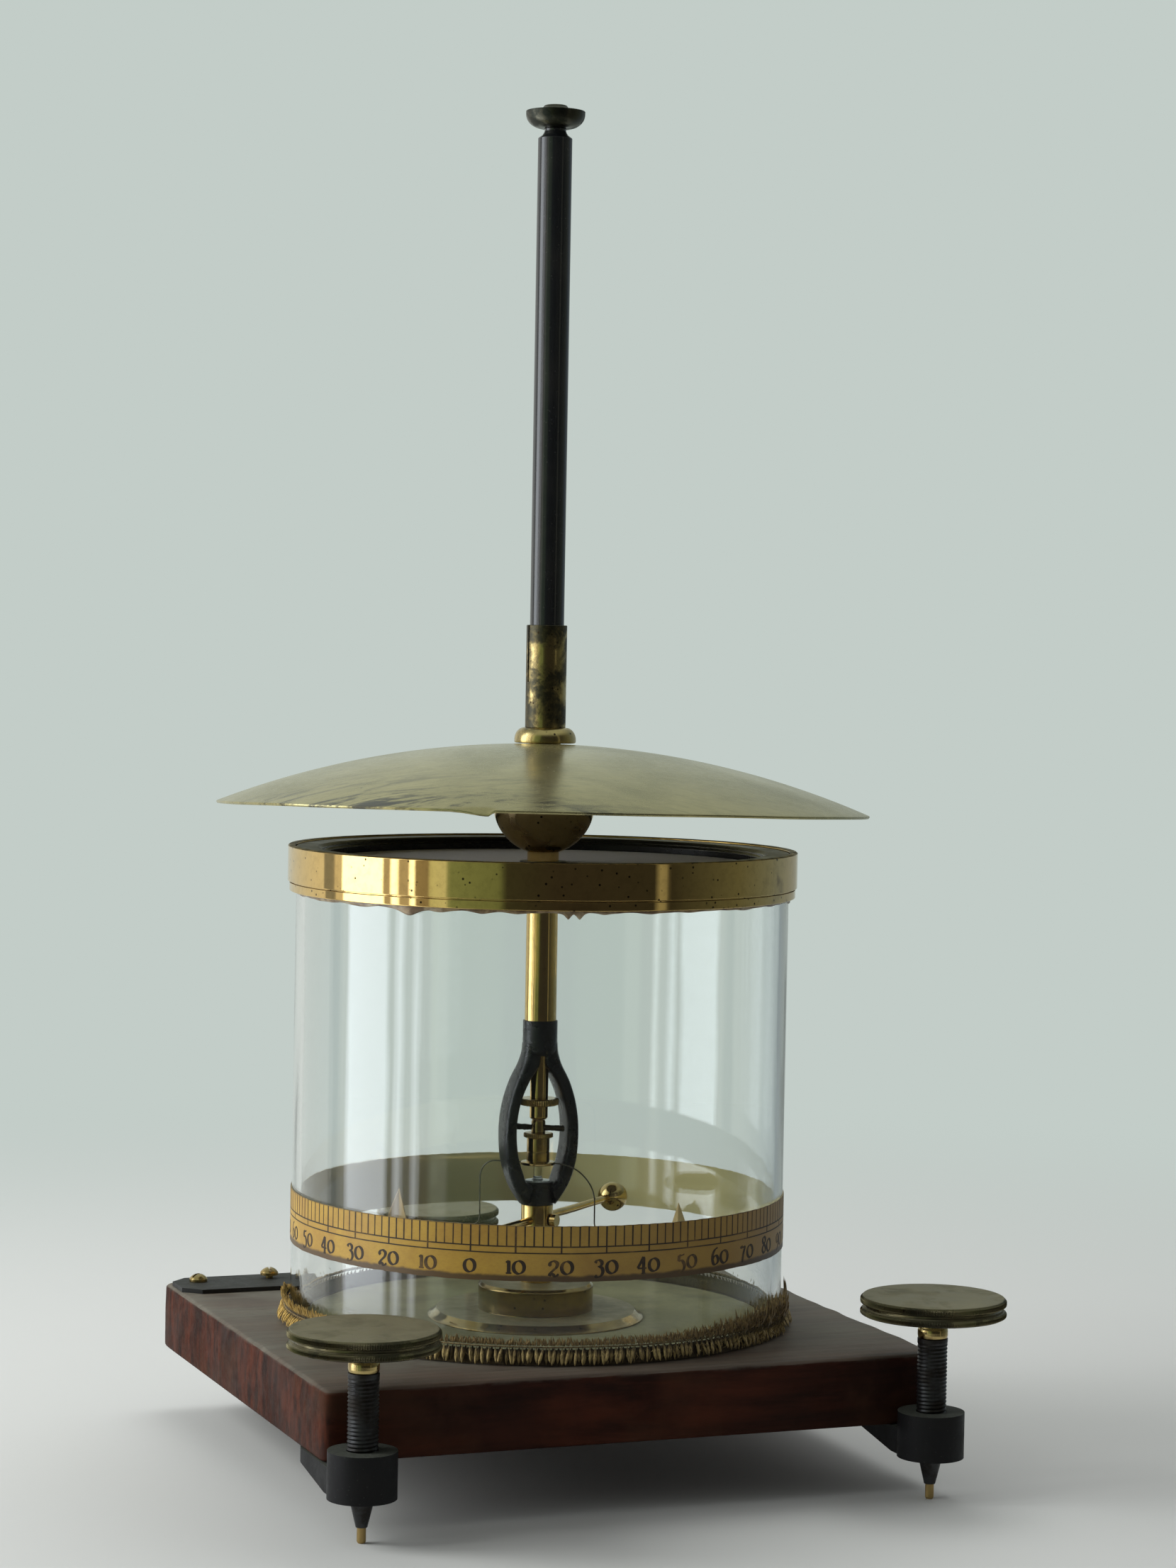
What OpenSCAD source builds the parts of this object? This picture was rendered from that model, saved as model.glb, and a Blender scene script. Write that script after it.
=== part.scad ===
// Electrometer with a light magnetised needle inside an oval yoke, read against a degree
// scale on a glass cylinder. Millimetres, +Z up. The origin is on the table, where the
// three levelling screws stand, under the instrument's upright axis. -Y is the front.

/* [Base board] */
// Width of the board, left to right
board_w = 214; // [204:1:250]
// Depth of the board, front to back
board_d = 198; // [190:1:240]
// Thickness of the board
board_t = 23; // [18:0.5:30]
// Height of the board's underside above the table
board_lift = 22.5; // [20:0.5:28]
// Chamfer round the board's upper and lower edges
board_edge = 1.2; // [0.4:0.1:2]
// Width of the metal plate on the rear left corner
plate_w = 46; // [40:1:46]
// Depth of the corner plate
plate_d = 25; // [18:1:26]
// Thickness of the corner plate
plate_t = 1.5; // [1:0.1:3]
// Distance of the corner plate from the board's side
plate_side = 1.4; // [1.3:0.1:3]
// Distance of the corner plate from the board's rear edge
plate_back = 2.4; // [1.3:0.1:4]
// Clipped corners of the corner plate
plate_clip = 6; // [2:0.5:8]

/* [Levelling screws] */
// Diameter of a levelling screw's thread
thread_d = 10; // [8:0.5:12]
// Overall length of a levelling screw
screw_len = 67; // [64:0.5:72]
// Thread pitch
thread_pitch = 1.25; // [0.8:0.05:2]
// Length of the tapered point
point_len = 14; // [10:0.5:16]
// Diameter at the root of the tapered point
point_root_d = 8; // [6:0.25:8]
// Diameter of the brass tip
tip_d = 2.9; // [2:0.1:4]
// Length of the brass tip
tip_len = 5; // [3:0.25:6]
// Diameter of the knurled head
head_d = 48; // [40:0.5:52]
// Thickness of the knurled head
head_t = 6.3; // [5:0.1:8]
// Width of the groove between the head's two rims
head_groove_w = 0.9; // [0.5:0.1:1.6]
// Depth of that groove
head_groove_d = 1.6; // [0.8:0.1:2.5]
// Diameter of the neck under the head
neck_d = 9.5; // [8:0.25:10]
// Length of the neck
neck_len = 3.5; // [2:0.25:5]
// Diameter of the spigot that the head is pinned on
spigot_d = 6; // [4:0.25:7]
// Distance of a front screw's axis from the board's side
screw_inset = 9; // [6:0.5:20]

/* [Lugs] */
// Diameter of a lug's boss
boss_d = 22; // [18:0.5:24]
// Height of the boss
boss_h = 15; // [13:0.5:16]
// How far the boss stands above the board's underside
boss_rise = 6.5; // [4:0.5:8]
// Gap between the boss and the board's edge
boss_gap = 0.5; // [0.3:0.1:1.5]
// Width of a lug's tongue
tongue_w = 18; // [14:0.5:20]
// Length of the tongue under the board
tongue_grip = 32.5; // [28:0.5:40]
// Thickness of the tongue at its end
tongue_t = 3.4; // [2.5:0.1:5]
// Shank diameter of the lug screws
wood_screw_d = 3.6; // [3:0.1:4.5]
// Depth of the lug screws in the board
wood_screw_bite = 11; // [8:0.5:14]

/* [Glass case] */
// Outer diameter of the glass cylinder
glass_d = 170; // [164:0.5:174]
// Wall of the glass
glass_wall = 3; // [2:0.1:4]
// Height of the glass cylinder
glass_h = 159.5; // [152:0.5:168]
// Depth of the groove that the glass stands in
groove_depth = 1.5; // [0.8:0.1:3]
// Radial thickness of the braid round the foot of the glass
braid_t = 4.7; // [3:0.1:4.7]
// Height of the braid
braid_h = 9.8; // [8:0.1:9.8]
// Thickness of the pale lining inside the glass
lining_t = 0.5; // [0.3:0.1:1]
// Height of the scale's lower edge above the board
scale_lift = 27.1; // [26:0.1:32]
// Height of the scale band
scale_h = 18.3; // [14:0.1:22]
// Thickness of the scale band
scale_t = 0.35; // [0.2:0.05:0.6]

/* [Lid] */
// Wall of the brass rim
rim_wall = 2.6; // [1.5:0.1:4]
// Height of the rim's bright band
rim_band_h = 11.5; // [9:0.5:14]
// Height of the lip under the band
rim_lip_h = 2.5; // [1.5:0.1:4]
// Step from the band in to the lip
rim_lip_step = 0.6; // [0.2:0.1:1]
// How far the rim stands above the glass
rim_above = 4.3; // [4:0.1:6]
// Radial width of the black moulding
moulding_w = 9.6; // [7:0.1:14]
// Height of the moulding
moulding_h = 3.6; // [2.4:0.1:3.8]
// Thickness of the lid's plate
lid_plate_t = 3; // [2:0.1:4]
// Outer diameter of the insulating bush
bush_d = 16; // [14:0.5:24]
// Length of the insulating bush
bush_h = 8; // [5:0.5:12]

/* [Conductor] */
// Diameter of the main rod
rod_d = 11; // [10:0.1:11.4]
// Diameter of the ball under the shield
ball_d = 35.2; // [30:0.2:40]
// Height of the ball's lowest point above the lid's plate
ball_clear = 4.5; // [3:0.1:10]
// Diameter of the shield
dish_d = 224.8; // [190:0.2:240]
// Height of the shield's crown above its rim
dish_rise = 22.1; // [12:0.1:30]
// Lean of the shield on its rod, in degrees
dish_lean = 1.5; // [0:0.1:1.5]
// Direction in which the shield leans down, degrees from +X
dish_lean_dir = 51; // [0:1:359]
// Sheet thickness of the shield
dish_t = 0.9; // [0.6:0.05:1.5]
// Diameter of the domed collar on the shield
collar_d = 21.3; // [18:0.1:26]
// Height of the domed collar
collar_h = 5.3; // [4:0.1:8]
// Outer diameter of the split sleeve
sleeve_d = 14; // [13.4:0.1:16]
// Length of the split sleeve
sleeve_h = 35.3; // [28:0.1:45]
// Length of the sleeve's slits
slit_len = 19.6; // [12:0.1:24]
// Width of the slits
slit_w = 0.9; // [0.5:0.05:1.5]
// Length of the main rod inside the sleeve's foot
rod_seat = 7; // [4:0.5:10]
// Outer diameter of the collector tube
tube_d = 11.8; // [11.6:0.1:12.6]
// Wall of the collector tube
tube_wall = 1.3; // [0.8:0.1:2]
// Length of the collector tube
tube_len = 195; // [120:1:260]
// Diameter of the neck under the terminal
top_neck_d = 7.2; // [6:0.1:8]
// Length of that neck
top_neck_h = 2.3; // [1.5:0.1:4]
// Diameter of the terminal bowl
bowl_d = 20.4; // [16:0.1:26]
// Height of the terminal bowl
bowl_h = 5.6; // [4:0.1:8]
// Diameter of the button on top
button_d = 9.2; // [7:0.1:12]
// Height of the button
button_h = 1.7; // [1:0.1:3]

/* [Column and yoke] */
// Diameter of the base flange
flange_d = 75; // [60:1:90]
// Thickness of the base flange
flange_t = 2; // [1.5:0.1:3]
// Diameter of the plinth
plinth_d = 40; // [30:0.5:50]
// Height of the plinth
plinth_h = 10; // [8:0.5:14]
// Diameter of the column
column_d = 11.1; // [10.6:0.1:13]
// Height of the column
column_h = 26.8; // [25:0.1:29]
// Diameter of the bolt through the board
bolt_d = 6; // [5:0.5:7]
// Height of the yoke's foot
yoke_foot_h = 7.4; // [6:0.1:9]
// Half width of the yoke's strap at its widest
yoke_half_w = 12.65; // [12.4:0.05:14]
// Thickness of the strap in the yoke's plane
strap_t = 2.6; // [2:0.1:2.8]
// Width of the strap across the yoke's plane
strap_w = 10.4; // [8:0.1:10.4]
// Height of the yoke's widest place above its foot's underside
yoke_wide_h = 24.2; // [23:0.1:26]
// Height from the widest place to the top of the strap
yoke_up_h = 29.5; // [29:0.1:32]
// Height of the socket on top of the yoke
socket_h = 10.5; // [8:0.1:14]
// Outer diameter of the socket
socket_d = 12.4; // [12.2:0.1:14]
// Diameter of the threaded stem in the yoke
stem_d = 6.3; // [5.5:0.1:7]
// Diameter of the knurled nut on the stem
nut_d = 14; // [11:0.1:15]
// Thickness of the nut
nut_t = 2.4; // [1.8:0.1:3]
// Height of the nut's underside above the stem's lower end
nut_lift = 5; // [3:0.1:7]

/* [Needle] */
// Direction of the needle at rest, degrees from +X
needle_angle = -33; // [-90:1:-32]
// Height of the pivot pillar above the yoke's foot
pillar_h = 9; // [8:0.1:10]
// Diameter of the pivot pillar
pillar_d = 2.9; // [2.4:0.1:3.2]
// Length of the steel point above the pillar
steel_len = 3.2; // [2.5:0.1:4]
// Diameter of the steel point at its root
steel_d = 1; // [0.6:0.1:1.4]
// Diameter of the cap's bore
cap_bore_d = 4; // [3.8:0.1:5]
// Diameter of the cap's lower flange
cap_flange_d = 12; // [11:0.1:13]
// Thickness of that flange
cap_flange_t = 1.2; // [0.8:0.1:1.6]
// Diameter of the cap's sleeve
cap_d = 7.9; // [7:0.1:8.6]
// Height of the sleeve
cap_h = 8.1; // [7.6:0.1:9]
// Diameter of the knurled ring on the cap
ring_d = 10.2; // [9:0.1:11.5]
// Thickness of that ring
ring_t = 1.7; // [1.2:0.1:2.2]
// Diameter of the rod that holds the magnet
holder_d = 4.9; // [4:0.1:5.6]
// Height of that rod above the ring
holder_h = 4.3; // [3.8:0.1:5]
// Diameter of the magnet bar
magnet_d = 1.8; // [1.2:0.1:2.4]
// Length of the magnet bar
magnet_len = 18.4; // [14:0.1:18.8]
// Diameter of the needle's wire
wire_d = 0.5; // [0.4:0.05:0.7]
// Radius at which the wire hangs down
wire_drop_r = 20.4; // [18:0.1:24]
// Radius of the wire's upper bend
wire_bend_r = 8; // [6:0.1:9]
// Radius of the wire's lower bend
wire_foot_r = 2.5; // [1.5:0.1:4]
// Height that the wire drops from the cap
wire_drop = 22.6; // [18:0.1:24]
// Radius of the vanes' fold
vane_r = 50; // [44:0.5:54]
// Height of a vane
vane_h = 11.4; // [8:0.1:13]
// Width of a vane at its foot
vane_w = 7.4; // [5:0.1:9]
// Depth of a vane's fold
vane_fold = 2; // [1:0.1:3]
// Thickness of the vanes' paper
paper_t = 0.4; // [0.3:0.05:0.8]

/* [Contact arm] */
// Direction of the contact arm, degrees from +X
arm_angle = 42; // [38:1:46]
// Height of the arm above the column's foot
arm_lift = 21.6; // [19:0.1:22]
// Diameter of the arm's rod
arm_d = 2.7; // [2:0.1:3.4]
// Distance from the axis to the middle of each ball
arm_reach = 60; // [56:0.5:66]
// Diameter of the arm's balls
arm_ball_d = 10.1; // [8:0.1:11]
// Diameter of the clamp screw's head
clamp_head_d = 4.4; // [3.6:0.1:6]
// Thickness of the clamp screw's head
clamp_head_t = 2; // [1.4:0.1:3]
// Diameter of the clamp screw's shank
clamp_d = 2; // [1.4:0.1:2.6]

/* [Clearances] */
// Radial clearance of a running or screwed fit
run_clear = 0.05; // [0.03:0.01:0.09]
// Gap between curved faces that don't bear on each other
face_gap = 0.3; // [0.2:0.05:0.5]
// Gap between the rear screw's head and the glass
head_gap = 1.5; // [1:0.1:4]

/* [Hidden] */
$fn = 96;
eps = 0.01;

brass = [0.72, 0.56, 0.26];
dull_brass = [0.52, 0.48, 0.32];
dark_bronze = [0.20, 0.18, 0.15];
black_iron = [0.11, 0.11, 0.12];
mahogany = [0.36, 0.22, 0.16];
pale_paper = [0.78, 0.74, 0.62];
amber_paper = [0.82, 0.58, 0.22];
yarn = [0.60, 0.50, 0.28];
steel = [0.42, 0.42, 0.44];
clear_glass = [0.80, 0.90, 0.88, 0.35];
shellac = [0.45, 0.24, 0.10];

board_z = board_lift + board_t;
screw_x = board_w / 2 - screw_inset;
edge_reach = boss_gap + boss_d / 2;
screw_y = board_d / 2 + edge_reach;
rear_y = max(screw_y, glass_d / 2 + head_gap + head_d / 2);
boss_top = board_lift + boss_rise;
boss_z = boss_top - boss_h;
thread_z = screw_len - head_t - neck_len;
spigot_len = neck_len + head_t / 2;
wood_head_d = 2 * wood_screw_d;
wood_screw_in = [8, tongue_grip - 9];
counterbore_d = 3.4 * bolt_d;
counterbore_h = 8;
washer_t = 1.2;
bolt_nut_w = 1.9 * bolt_d;
bolt_nut_t = 0.8 * bolt_d;
bolt_reach = 9;

glass_r = glass_d / 2;
glass_in_r = glass_r - glass_wall;
glass_z = board_z - groove_depth;
glass_top = glass_z + glass_h;
lining_r = glass_in_r - 2 * face_gap;
scale_r = glass_r + run_clear;
plate_x = -board_w / 2 + plate_side;
plate_y = board_d / 2 - plate_back;
plate_screw_x = [9, 35.5];
plate_screw_y = 8;
plate_screw_d = 2.6;
dome_d = 2.5 * plate_screw_d;
plate_screw_bite = 9;
plate_screw_proud = [0.1, 1.2];

rim_in_r = glass_r + face_gap;
rim_r = rim_in_r + rim_wall;
rim_top = glass_top + rim_above;
rim_lip_z = rim_top - rim_band_h - rim_lip_h;
moulding_r = glass_r + run_clear;
lid_plate_r = glass_in_r - face_gap;
cement_drop = 2.2;
cement_t = 1.7;
drip_angles = [-146, -141, -123, -118, -112, -106, -97, -88, -30, 35, 118];
drip_drops = [1.6, 2.6, 2.2, 3.0, 2.0, 2.7, 2.3, 1.6, 1.9, 2.2, 1.8];
drip_r = 1.1;

rod_r = rod_d / 2;
rod_bore_r = rod_r + run_clear;
ball_z = glass_top + ball_clear + ball_d / 2;
dish_under = ball_z + ball_d / 2 + face_gap;
dish_top = dish_under + dish_t;
dish_rim_z = dish_top - dish_rise;
dish_curve_r = (pow(dish_d / 2, 2) + pow(dish_rise, 2)) / (2 * dish_rise);
collar_z = dish_top + face_gap;
sleeve_z = collar_z + collar_h;
sleeve_top = sleeve_z + sleeve_h;
rod_top = sleeve_z + rod_seat;
tube_z = rod_top + 1;
tube_top = tube_z + tube_len;
tube_shoulder = 1.4;
sleeve_bore_r = tube_d / 2 + run_clear;
bowl_z = tube_top + top_neck_h;
bowl_rim_h = 0.9;

flange_z = board_z + lining_t;
plinth_z = flange_z + flange_t;
column_z = plinth_z + plinth_h;
column_top = column_z + column_h;
column_spigot_d = 5;
column_spigot_h = 2.6;
bolt_z = board_lift + 1;
bolt_top = column_z + bolt_reach;

yoke_z = column_top;
foot_top = yoke_z + yoke_foot_h;
foot_d = column_d + 0.1;
wide_z = yoke_z + yoke_wide_h;
strap_top = wide_z + yoke_up_h;
socket_z = strap_top - 1.3;
socket_top = socket_z + socket_h;
rod_z = socket_z + 2;
yoke_in_w = yoke_half_w - strap_t;
yoke_steps = 14;

pillar_seat = 4;
pillar_r = pillar_d / 2;
pillar_top = foot_top + pillar_h;
steel_top = pillar_top + steel_len;
jewel_gap = 0.1;
jewel_t = 2;
cap_z = foot_top + 6.4;
cap_flange_top = cap_z + cap_flange_t;
cap_top = cap_flange_top + cap_h;
ring_top = cap_top + ring_t;
holder_top = ring_top + holder_h;
magnet_z = ring_top + holder_h / 2 - 0.3;
stem_z = holder_top + 0.4;
stem_top = socket_z + 0.6;
nut_z = stem_z + nut_lift;
wire_z = cap_z + cap_flange_t / 2;
wire_low_z = wire_z - wire_drop;
vane_z = wire_low_z - wire_d / 2;

arm_z = column_z + arm_lift;
arm_len = 2 * arm_reach;
clamp_angle = arm_angle - 90;
clamp_head_r = column_d / 2 + face_gap;

// Puts its children at the three levelling screws' places
module at_front_left() { translate([-screw_x, -screw_y, 0]) children(); }
module at_front_right() { translate([screw_x, -screw_y, 0]) children(); }
module at_rear() { translate([0, rear_y, 0]) rotate([0, 0, 180]) children(); }

// A ring with a square section
module ring(r_in, r_out, h) {
    difference() {
        cylinder(r = r_out, h = h);
        translate([0, 0, -1]) cylinder(r = r_in, h = h + 2);
    }
}

// The pilot holes of one lug, whose screw's axis is reach away from the board's edge
module lug_pilots(reach) {
    for (y = wood_screw_in)
        translate([0, reach + y, board_lift - eps])
            cylinder(d = wood_screw_d + 2 * run_clear, h = wood_screw_bite + 1);
}

// One long wedge that takes the chamfer off an edge along X
module edge_cut(len, side, z) {
    translate([-len / 2 - 1, side, z]) rotate([45, 0, 0])
        cube([len + 2, board_edge * sqrt(2), board_edge * sqrt(2)]);
}

module base_board() {
    color(mahogany) difference() {
        translate([-board_w / 2, -board_d / 2, board_lift]) cube([board_w, board_d, board_t]);
        for (z = [board_lift - board_edge, board_z - board_edge]) {
            for (y = [-board_d / 2, board_d / 2]) edge_cut(board_w, y, z);
            for (x = [-board_w / 2, board_w / 2])
                rotate([0, 0, 90]) edge_cut(board_d, x, z);
        }
        translate([0, 0, glass_z]) difference() {
            cylinder(r = rim_in_r, h = groove_depth + 1);
            translate([0, 0, -1]) cylinder(r = glass_in_r - face_gap, h = groove_depth + 3);
        }
        translate([0, 0, board_lift - 1])
            cylinder(d = bolt_d + 2 * run_clear, h = board_t + 2);
        translate([0, 0, board_lift - 1]) cylinder(d = counterbore_d, h = counterbore_h + 1);
        at_front_left() lug_pilots(edge_reach);
        at_front_right() lug_pilots(edge_reach);
        at_rear() lug_pilots(rear_y - board_d / 2);
        for (x = plate_screw_x)
            translate([plate_x + x, plate_y - plate_screw_y, board_z - plate_screw_bite - 1])
                cylinder(d = plate_screw_d + 2 * run_clear, h = plate_screw_bite + 2);
    }
}

module base_lining() {
    color(pale_paper) translate([0, 0, board_z])
        ring(bolt_d / 2 + face_gap, lining_r, lining_t);
}

// A boss for the screw's thread, with a tongue that tapers away under the board
module lug(reach) {
    tongue_len = reach + tongue_grip;
    difference() {
        union() {
            translate([0, 0, boss_z]) cylinder(d = boss_d, h = boss_h);
            intersection() {
                translate([-tongue_w / 2, 0, 0]) rotate([90, 0, 90]) linear_extrude(tongue_w)
                    polygon([[0, boss_z], [boss_d / 2, boss_z],
                             [tongue_len, board_lift - tongue_t],
                             [tongue_len, board_lift], [0, board_lift]]);
                union() {
                    translate([-tongue_w / 2, 0, 0])
                        cube([tongue_w, tongue_len - tongue_w / 2, board_lift + 1]);
                    translate([0, tongue_len - tongue_w / 2, 0])
                        cylinder(d = tongue_w, h = board_lift + 1);
                }
            }
        }
        translate([0, 0, boss_z - 1]) cylinder(d = thread_d + 2 * run_clear, h = boss_h + 2);
        for (y = wood_screw_in) translate([0, reach + y, 0]) {
            cylinder(d = wood_screw_d + 2 * run_clear, h = board_lift + 1);
            cylinder(d = wood_head_d + 2 * run_clear, h = board_lift - tongue_t);
        }
    }
}

module front_left_lug() { color(black_iron) at_front_left() lug(edge_reach); }
module front_right_lug() { color(black_iron) at_front_right() lug(edge_reach); }
module rear_lug() { color(black_iron) at_rear() lug(rear_y - board_d / 2); }

// The screws driven up through a lug's tongue, each with a slot across its flat head
module lug_pair(reach) {
    head_t = 0.55 * wood_screw_d;
    for (y = wood_screw_in) translate([0, reach + y, board_lift - tongue_t]) {
        difference() {
            translate([0, 0, -head_t]) cylinder(d = wood_head_d, h = head_t);
            translate([-wood_head_d, -0.4, -head_t - 1]) cube([2 * wood_head_d, 0.8, 1.8]);
        }
        cylinder(d = wood_screw_d, h = tongue_t + wood_screw_bite);
    }
}

module lug_screws() {
    color(brass) {
        at_front_left() lug_pair(edge_reach);
        at_front_right() lug_pair(edge_reach);
        at_rear() lug_pair(rear_y - board_d / 2);
    }
}

module corner_plate() {
    color(black_iron) translate([plate_x, plate_y, board_z]) difference() {
        linear_extrude(plate_t)
            polygon([[0, -plate_clip], [plate_clip, 0], [plate_w, 0], [plate_w, -plate_d],
                     [plate_clip, -plate_d], [0, plate_clip - plate_d]]);
        for (x = plate_screw_x) translate([x, -plate_screw_y, -1])
            cylinder(d = plate_screw_d + 2 * run_clear, h = plate_t + 2);
    }
}

// A dome-headed slotted screw that stands a little proud of its plate
module dome_screw(proud, slot_angle) {
    dome_h = 0.42 * dome_d;
    translate([0, 0, plate_t + proud]) difference() {
        intersection() {
            cylinder(d = dome_d, h = dome_h);
            translate([0, 0, dome_h - 0.58 * dome_d]) sphere(d = 1.16 * dome_d);
        }
        rotate([0, 0, slot_angle]) translate([-dome_d, -0.45, dome_h - 1.1])
            cube([2 * dome_d, 0.9, 2]);
    }
    translate([0, 0, -plate_screw_bite])
        cylinder(d = plate_screw_d, h = plate_screw_bite + plate_t + proud);
}

module plate_screws() {
    color(brass) for (i = [0:1])
        translate([plate_x + plate_screw_x[i], plate_y - plate_screw_y, board_z])
            dome_screw(plate_screw_proud[i], 25 + 60 * i);
}

module glass_cylinder() {
    color(clear_glass) translate([0, 0, glass_z]) ring(glass_in_r, glass_r, glass_h);
}

module scale_band() {
    color(amber_paper) translate([0, 0, board_z + scale_lift])
        ring(scale_r, scale_r + scale_t, scale_h);
}

// The braid's outline: a full lower row, a drawn-in waist and a smaller upper row
module foot_braid() {
    r = glass_r + face_gap;
    color(yarn) translate([0, 0, board_z + run_clear]) rotate_extrude()
        polygon([[r, 0], [r + 0.9 * braid_t, 0], [r + braid_t, 0.14 * braid_h],
                 [r + 0.86 * braid_t, 0.5 * braid_h], [r + 0.55 * braid_t, 0.6 * braid_h],
                 [r + 0.72 * braid_t, 0.7 * braid_h], [r + 0.56 * braid_t, 0.95 * braid_h],
                 [r + 0.3 * braid_t, braid_h], [r, 0.96 * braid_h]]);
}

module lid_rim() {
    color(brass) rotate_extrude()
        polygon([[rim_in_r, rim_lip_z], [rim_r - rim_lip_step, rim_lip_z],
                 [rim_r - rim_lip_step, rim_lip_z + rim_lip_h - 0.4],
                 [rim_r, rim_lip_z + rim_lip_h], [rim_r, rim_top - 0.3],
                 [rim_r - 0.3, rim_top], [rim_in_r, rim_top]]);
}

module lid_moulding() {
    w = moulding_w;
    r = moulding_r - w;
    color(black_iron) translate([0, 0, glass_top]) rotate_extrude()
        polygon([[r, 0], [r, 0.22 * moulding_h], [r + 0.08 * w, 0.4 * moulding_h],
                 [r + 0.36 * w, 0.46 * moulding_h], [r + 0.42 * w, 0.7 * moulding_h],
                 [r + 0.66 * w, 0.78 * moulding_h], [r + 0.72 * w, moulding_h],
                 [moulding_r, moulding_h], [moulding_r, 0]]);
}

module lid_plate() {
    color(dark_bronze) translate([0, 0, glass_top - lid_plate_t])
        ring(bush_d / 2 + run_clear, lid_plate_r, lid_plate_t);
}

module lid_bush() {
    color(black_iron) translate([0, 0, glass_top + 0.4 - bush_h])
        ring(rod_bore_r, bush_d / 2, bush_h);
}

// The cement fillet between rim and glass, with the runs that set on the glass
module lid_cement() {
    r = glass_r + run_clear;
    color(shellac) difference() {
        union() {
            rotate_extrude() polygon([[r, rim_lip_z], [r + cement_t, rim_lip_z],
                [r + 0.6 * cement_t, rim_lip_z - 0.45 * cement_drop],
                [r, rim_lip_z - cement_drop]]);
            for (i = [0:len(drip_angles) - 1]) rotate([0, 0, drip_angles[i]])
                translate([r + 0.15, 0, rim_lip_z - cement_drop - drip_drops[i] + drip_r]) {
                    cylinder(r = drip_r, h = drip_drops[i] + cement_drop - drip_r, $fn = 24);
                    sphere(r = drip_r, $fn = 24);
                }
        }
        translate([0, 0, rim_lip_z - 20]) cylinder(r = r, h = 30);
    }
}

module base_flange() {
    r = flange_d / 2;
    color(brass) translate([0, 0, flange_z]) rotate_extrude()
        polygon([[bolt_d / 2 + run_clear, 0], [r, 0], [r, 0.6 * flange_t],
                 [r - 0.6, flange_t], [bolt_d / 2 + run_clear, flange_t]]);
}

module plinth() {
    r = plinth_d / 2;
    color(brass) translate([0, 0, plinth_z]) rotate_extrude()
        polygon([[bolt_d / 2 + run_clear, 0], [r + 1, 0], [r + 1, 0.16 * plinth_h],
                 [r, 0.24 * plinth_h], [r, 0.88 * plinth_h], [r - 1.2, plinth_h],
                 [bolt_d / 2 + run_clear, plinth_h]]);
}

module column() {
    color(brass) difference() {
        union() {
            translate([0, 0, column_z]) cylinder(d = column_d, h = column_h);
            translate([0, 0, column_top]) cylinder(d = column_spigot_d, h = column_spigot_h);
        }
        translate([0, 0, column_z - 1])
            cylinder(d = bolt_d + 2 * run_clear, h = bolt_reach + 2);
        translate([0, 0, arm_z]) {
            rotate([0, 0, arm_angle]) rotate([0, 90, 0])
                cylinder(d = arm_d + 2 * run_clear, h = 3 * column_d, center = true);
            rotate([0, 0, clamp_angle]) rotate([0, 90, 0])
                cylinder(d = clamp_d + 2 * run_clear, h = column_d);
        }
    }
}

module centre_bolt() {
    color(brass) translate([0, 0, bolt_z]) cylinder(d = bolt_d, h = bolt_top - bolt_z);
}

module centre_nut() {
    z = board_lift + counterbore_h - washer_t;
    color(brass) difference() {
        union() {
            translate([0, 0, z]) cylinder(d = 2.6 * bolt_d, h = washer_t);
            translate([0, 0, z - bolt_nut_t])
                cylinder(d = bolt_nut_w, h = bolt_nut_t + eps, $fn = 6);
        }
        translate([0, 0, z - bolt_nut_t - 1])
            cylinder(d = bolt_d + 2 * run_clear, h = bolt_nut_t + washer_t + 2);
    }
}

// Half widths of the yoke at a height above or below its widest place. The strap is a
// power of a cosine, drawn out to a point above and full and round below.
function half_w(w, h, up, down, p_up, p_down) =
    h >= 0 ? w * pow(max(0, cos(90 * min(1, h / up))), p_up)
           : w * pow(max(0, cos(90 * min(1, -h / down))), p_down);
function outer_w(h) = half_w(yoke_half_w, h, yoke_up_h + 1.5, yoke_wide_h + 3.3, 0.72, 0.5);
function inner_w(h) = half_w(yoke_in_w, h, yoke_up_h - 1.5, yoke_wide_h - 2.2, 0.8, 0.5);
function outline(from, to, steps, outer) =
    [for (i = [0:steps]) let (h = from + (to - from) * i / steps)
        [outer ? outer_w(h) : inner_w(h), wide_z + h]];
function mirrored(points) =
    [for (i = [len(points) - 1:-1:0]) [-points[i][0], points[i][1]]];

module strap_shape() {
    low = -yoke_wide_h;
    in_low = 2.2 - yoke_wide_h;
    outside = concat(outline(low, 0, yoke_steps, true),
                     outline(yoke_up_h / yoke_steps, yoke_up_h, yoke_steps - 1, true));
    inside = concat(outline(in_low, in_low + 3, 6, false),
                    outline(in_low + 4.4, 0, yoke_steps, false),
                    outline(2, yoke_up_h - 1.5, yoke_steps - 1, false));
    difference() {
        polygon(concat(outside, mirrored(outside)));
        polygon(concat(inside, mirrored(inside)));
    }
}

module yoke() {
    color(black_iron) difference() {
        union() {
            translate([0, strap_w / 2, 0]) rotate([90, 0, 0])
                linear_extrude(strap_w) strap_shape();
            translate([0, 0, yoke_z]) cylinder(d = foot_d, h = yoke_foot_h);
            translate([0, 0, socket_z]) cylinder(d = socket_d, h = socket_h);
        }
        translate([0, 0, rod_z]) cylinder(r = rod_bore_r, h = socket_h);
        translate([0, 0, wide_z]) cylinder(d = stem_d + 2 * run_clear, h = stem_top - wide_z);
        translate([0, 0, yoke_z - 1])
            cylinder(d = column_spigot_d + 2 * run_clear, h = column_spigot_h + 1.2);
        translate([0, 0, foot_top - pillar_seat]) cylinder(r = pillar_r + run_clear, h = 20);
    }
}

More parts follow.
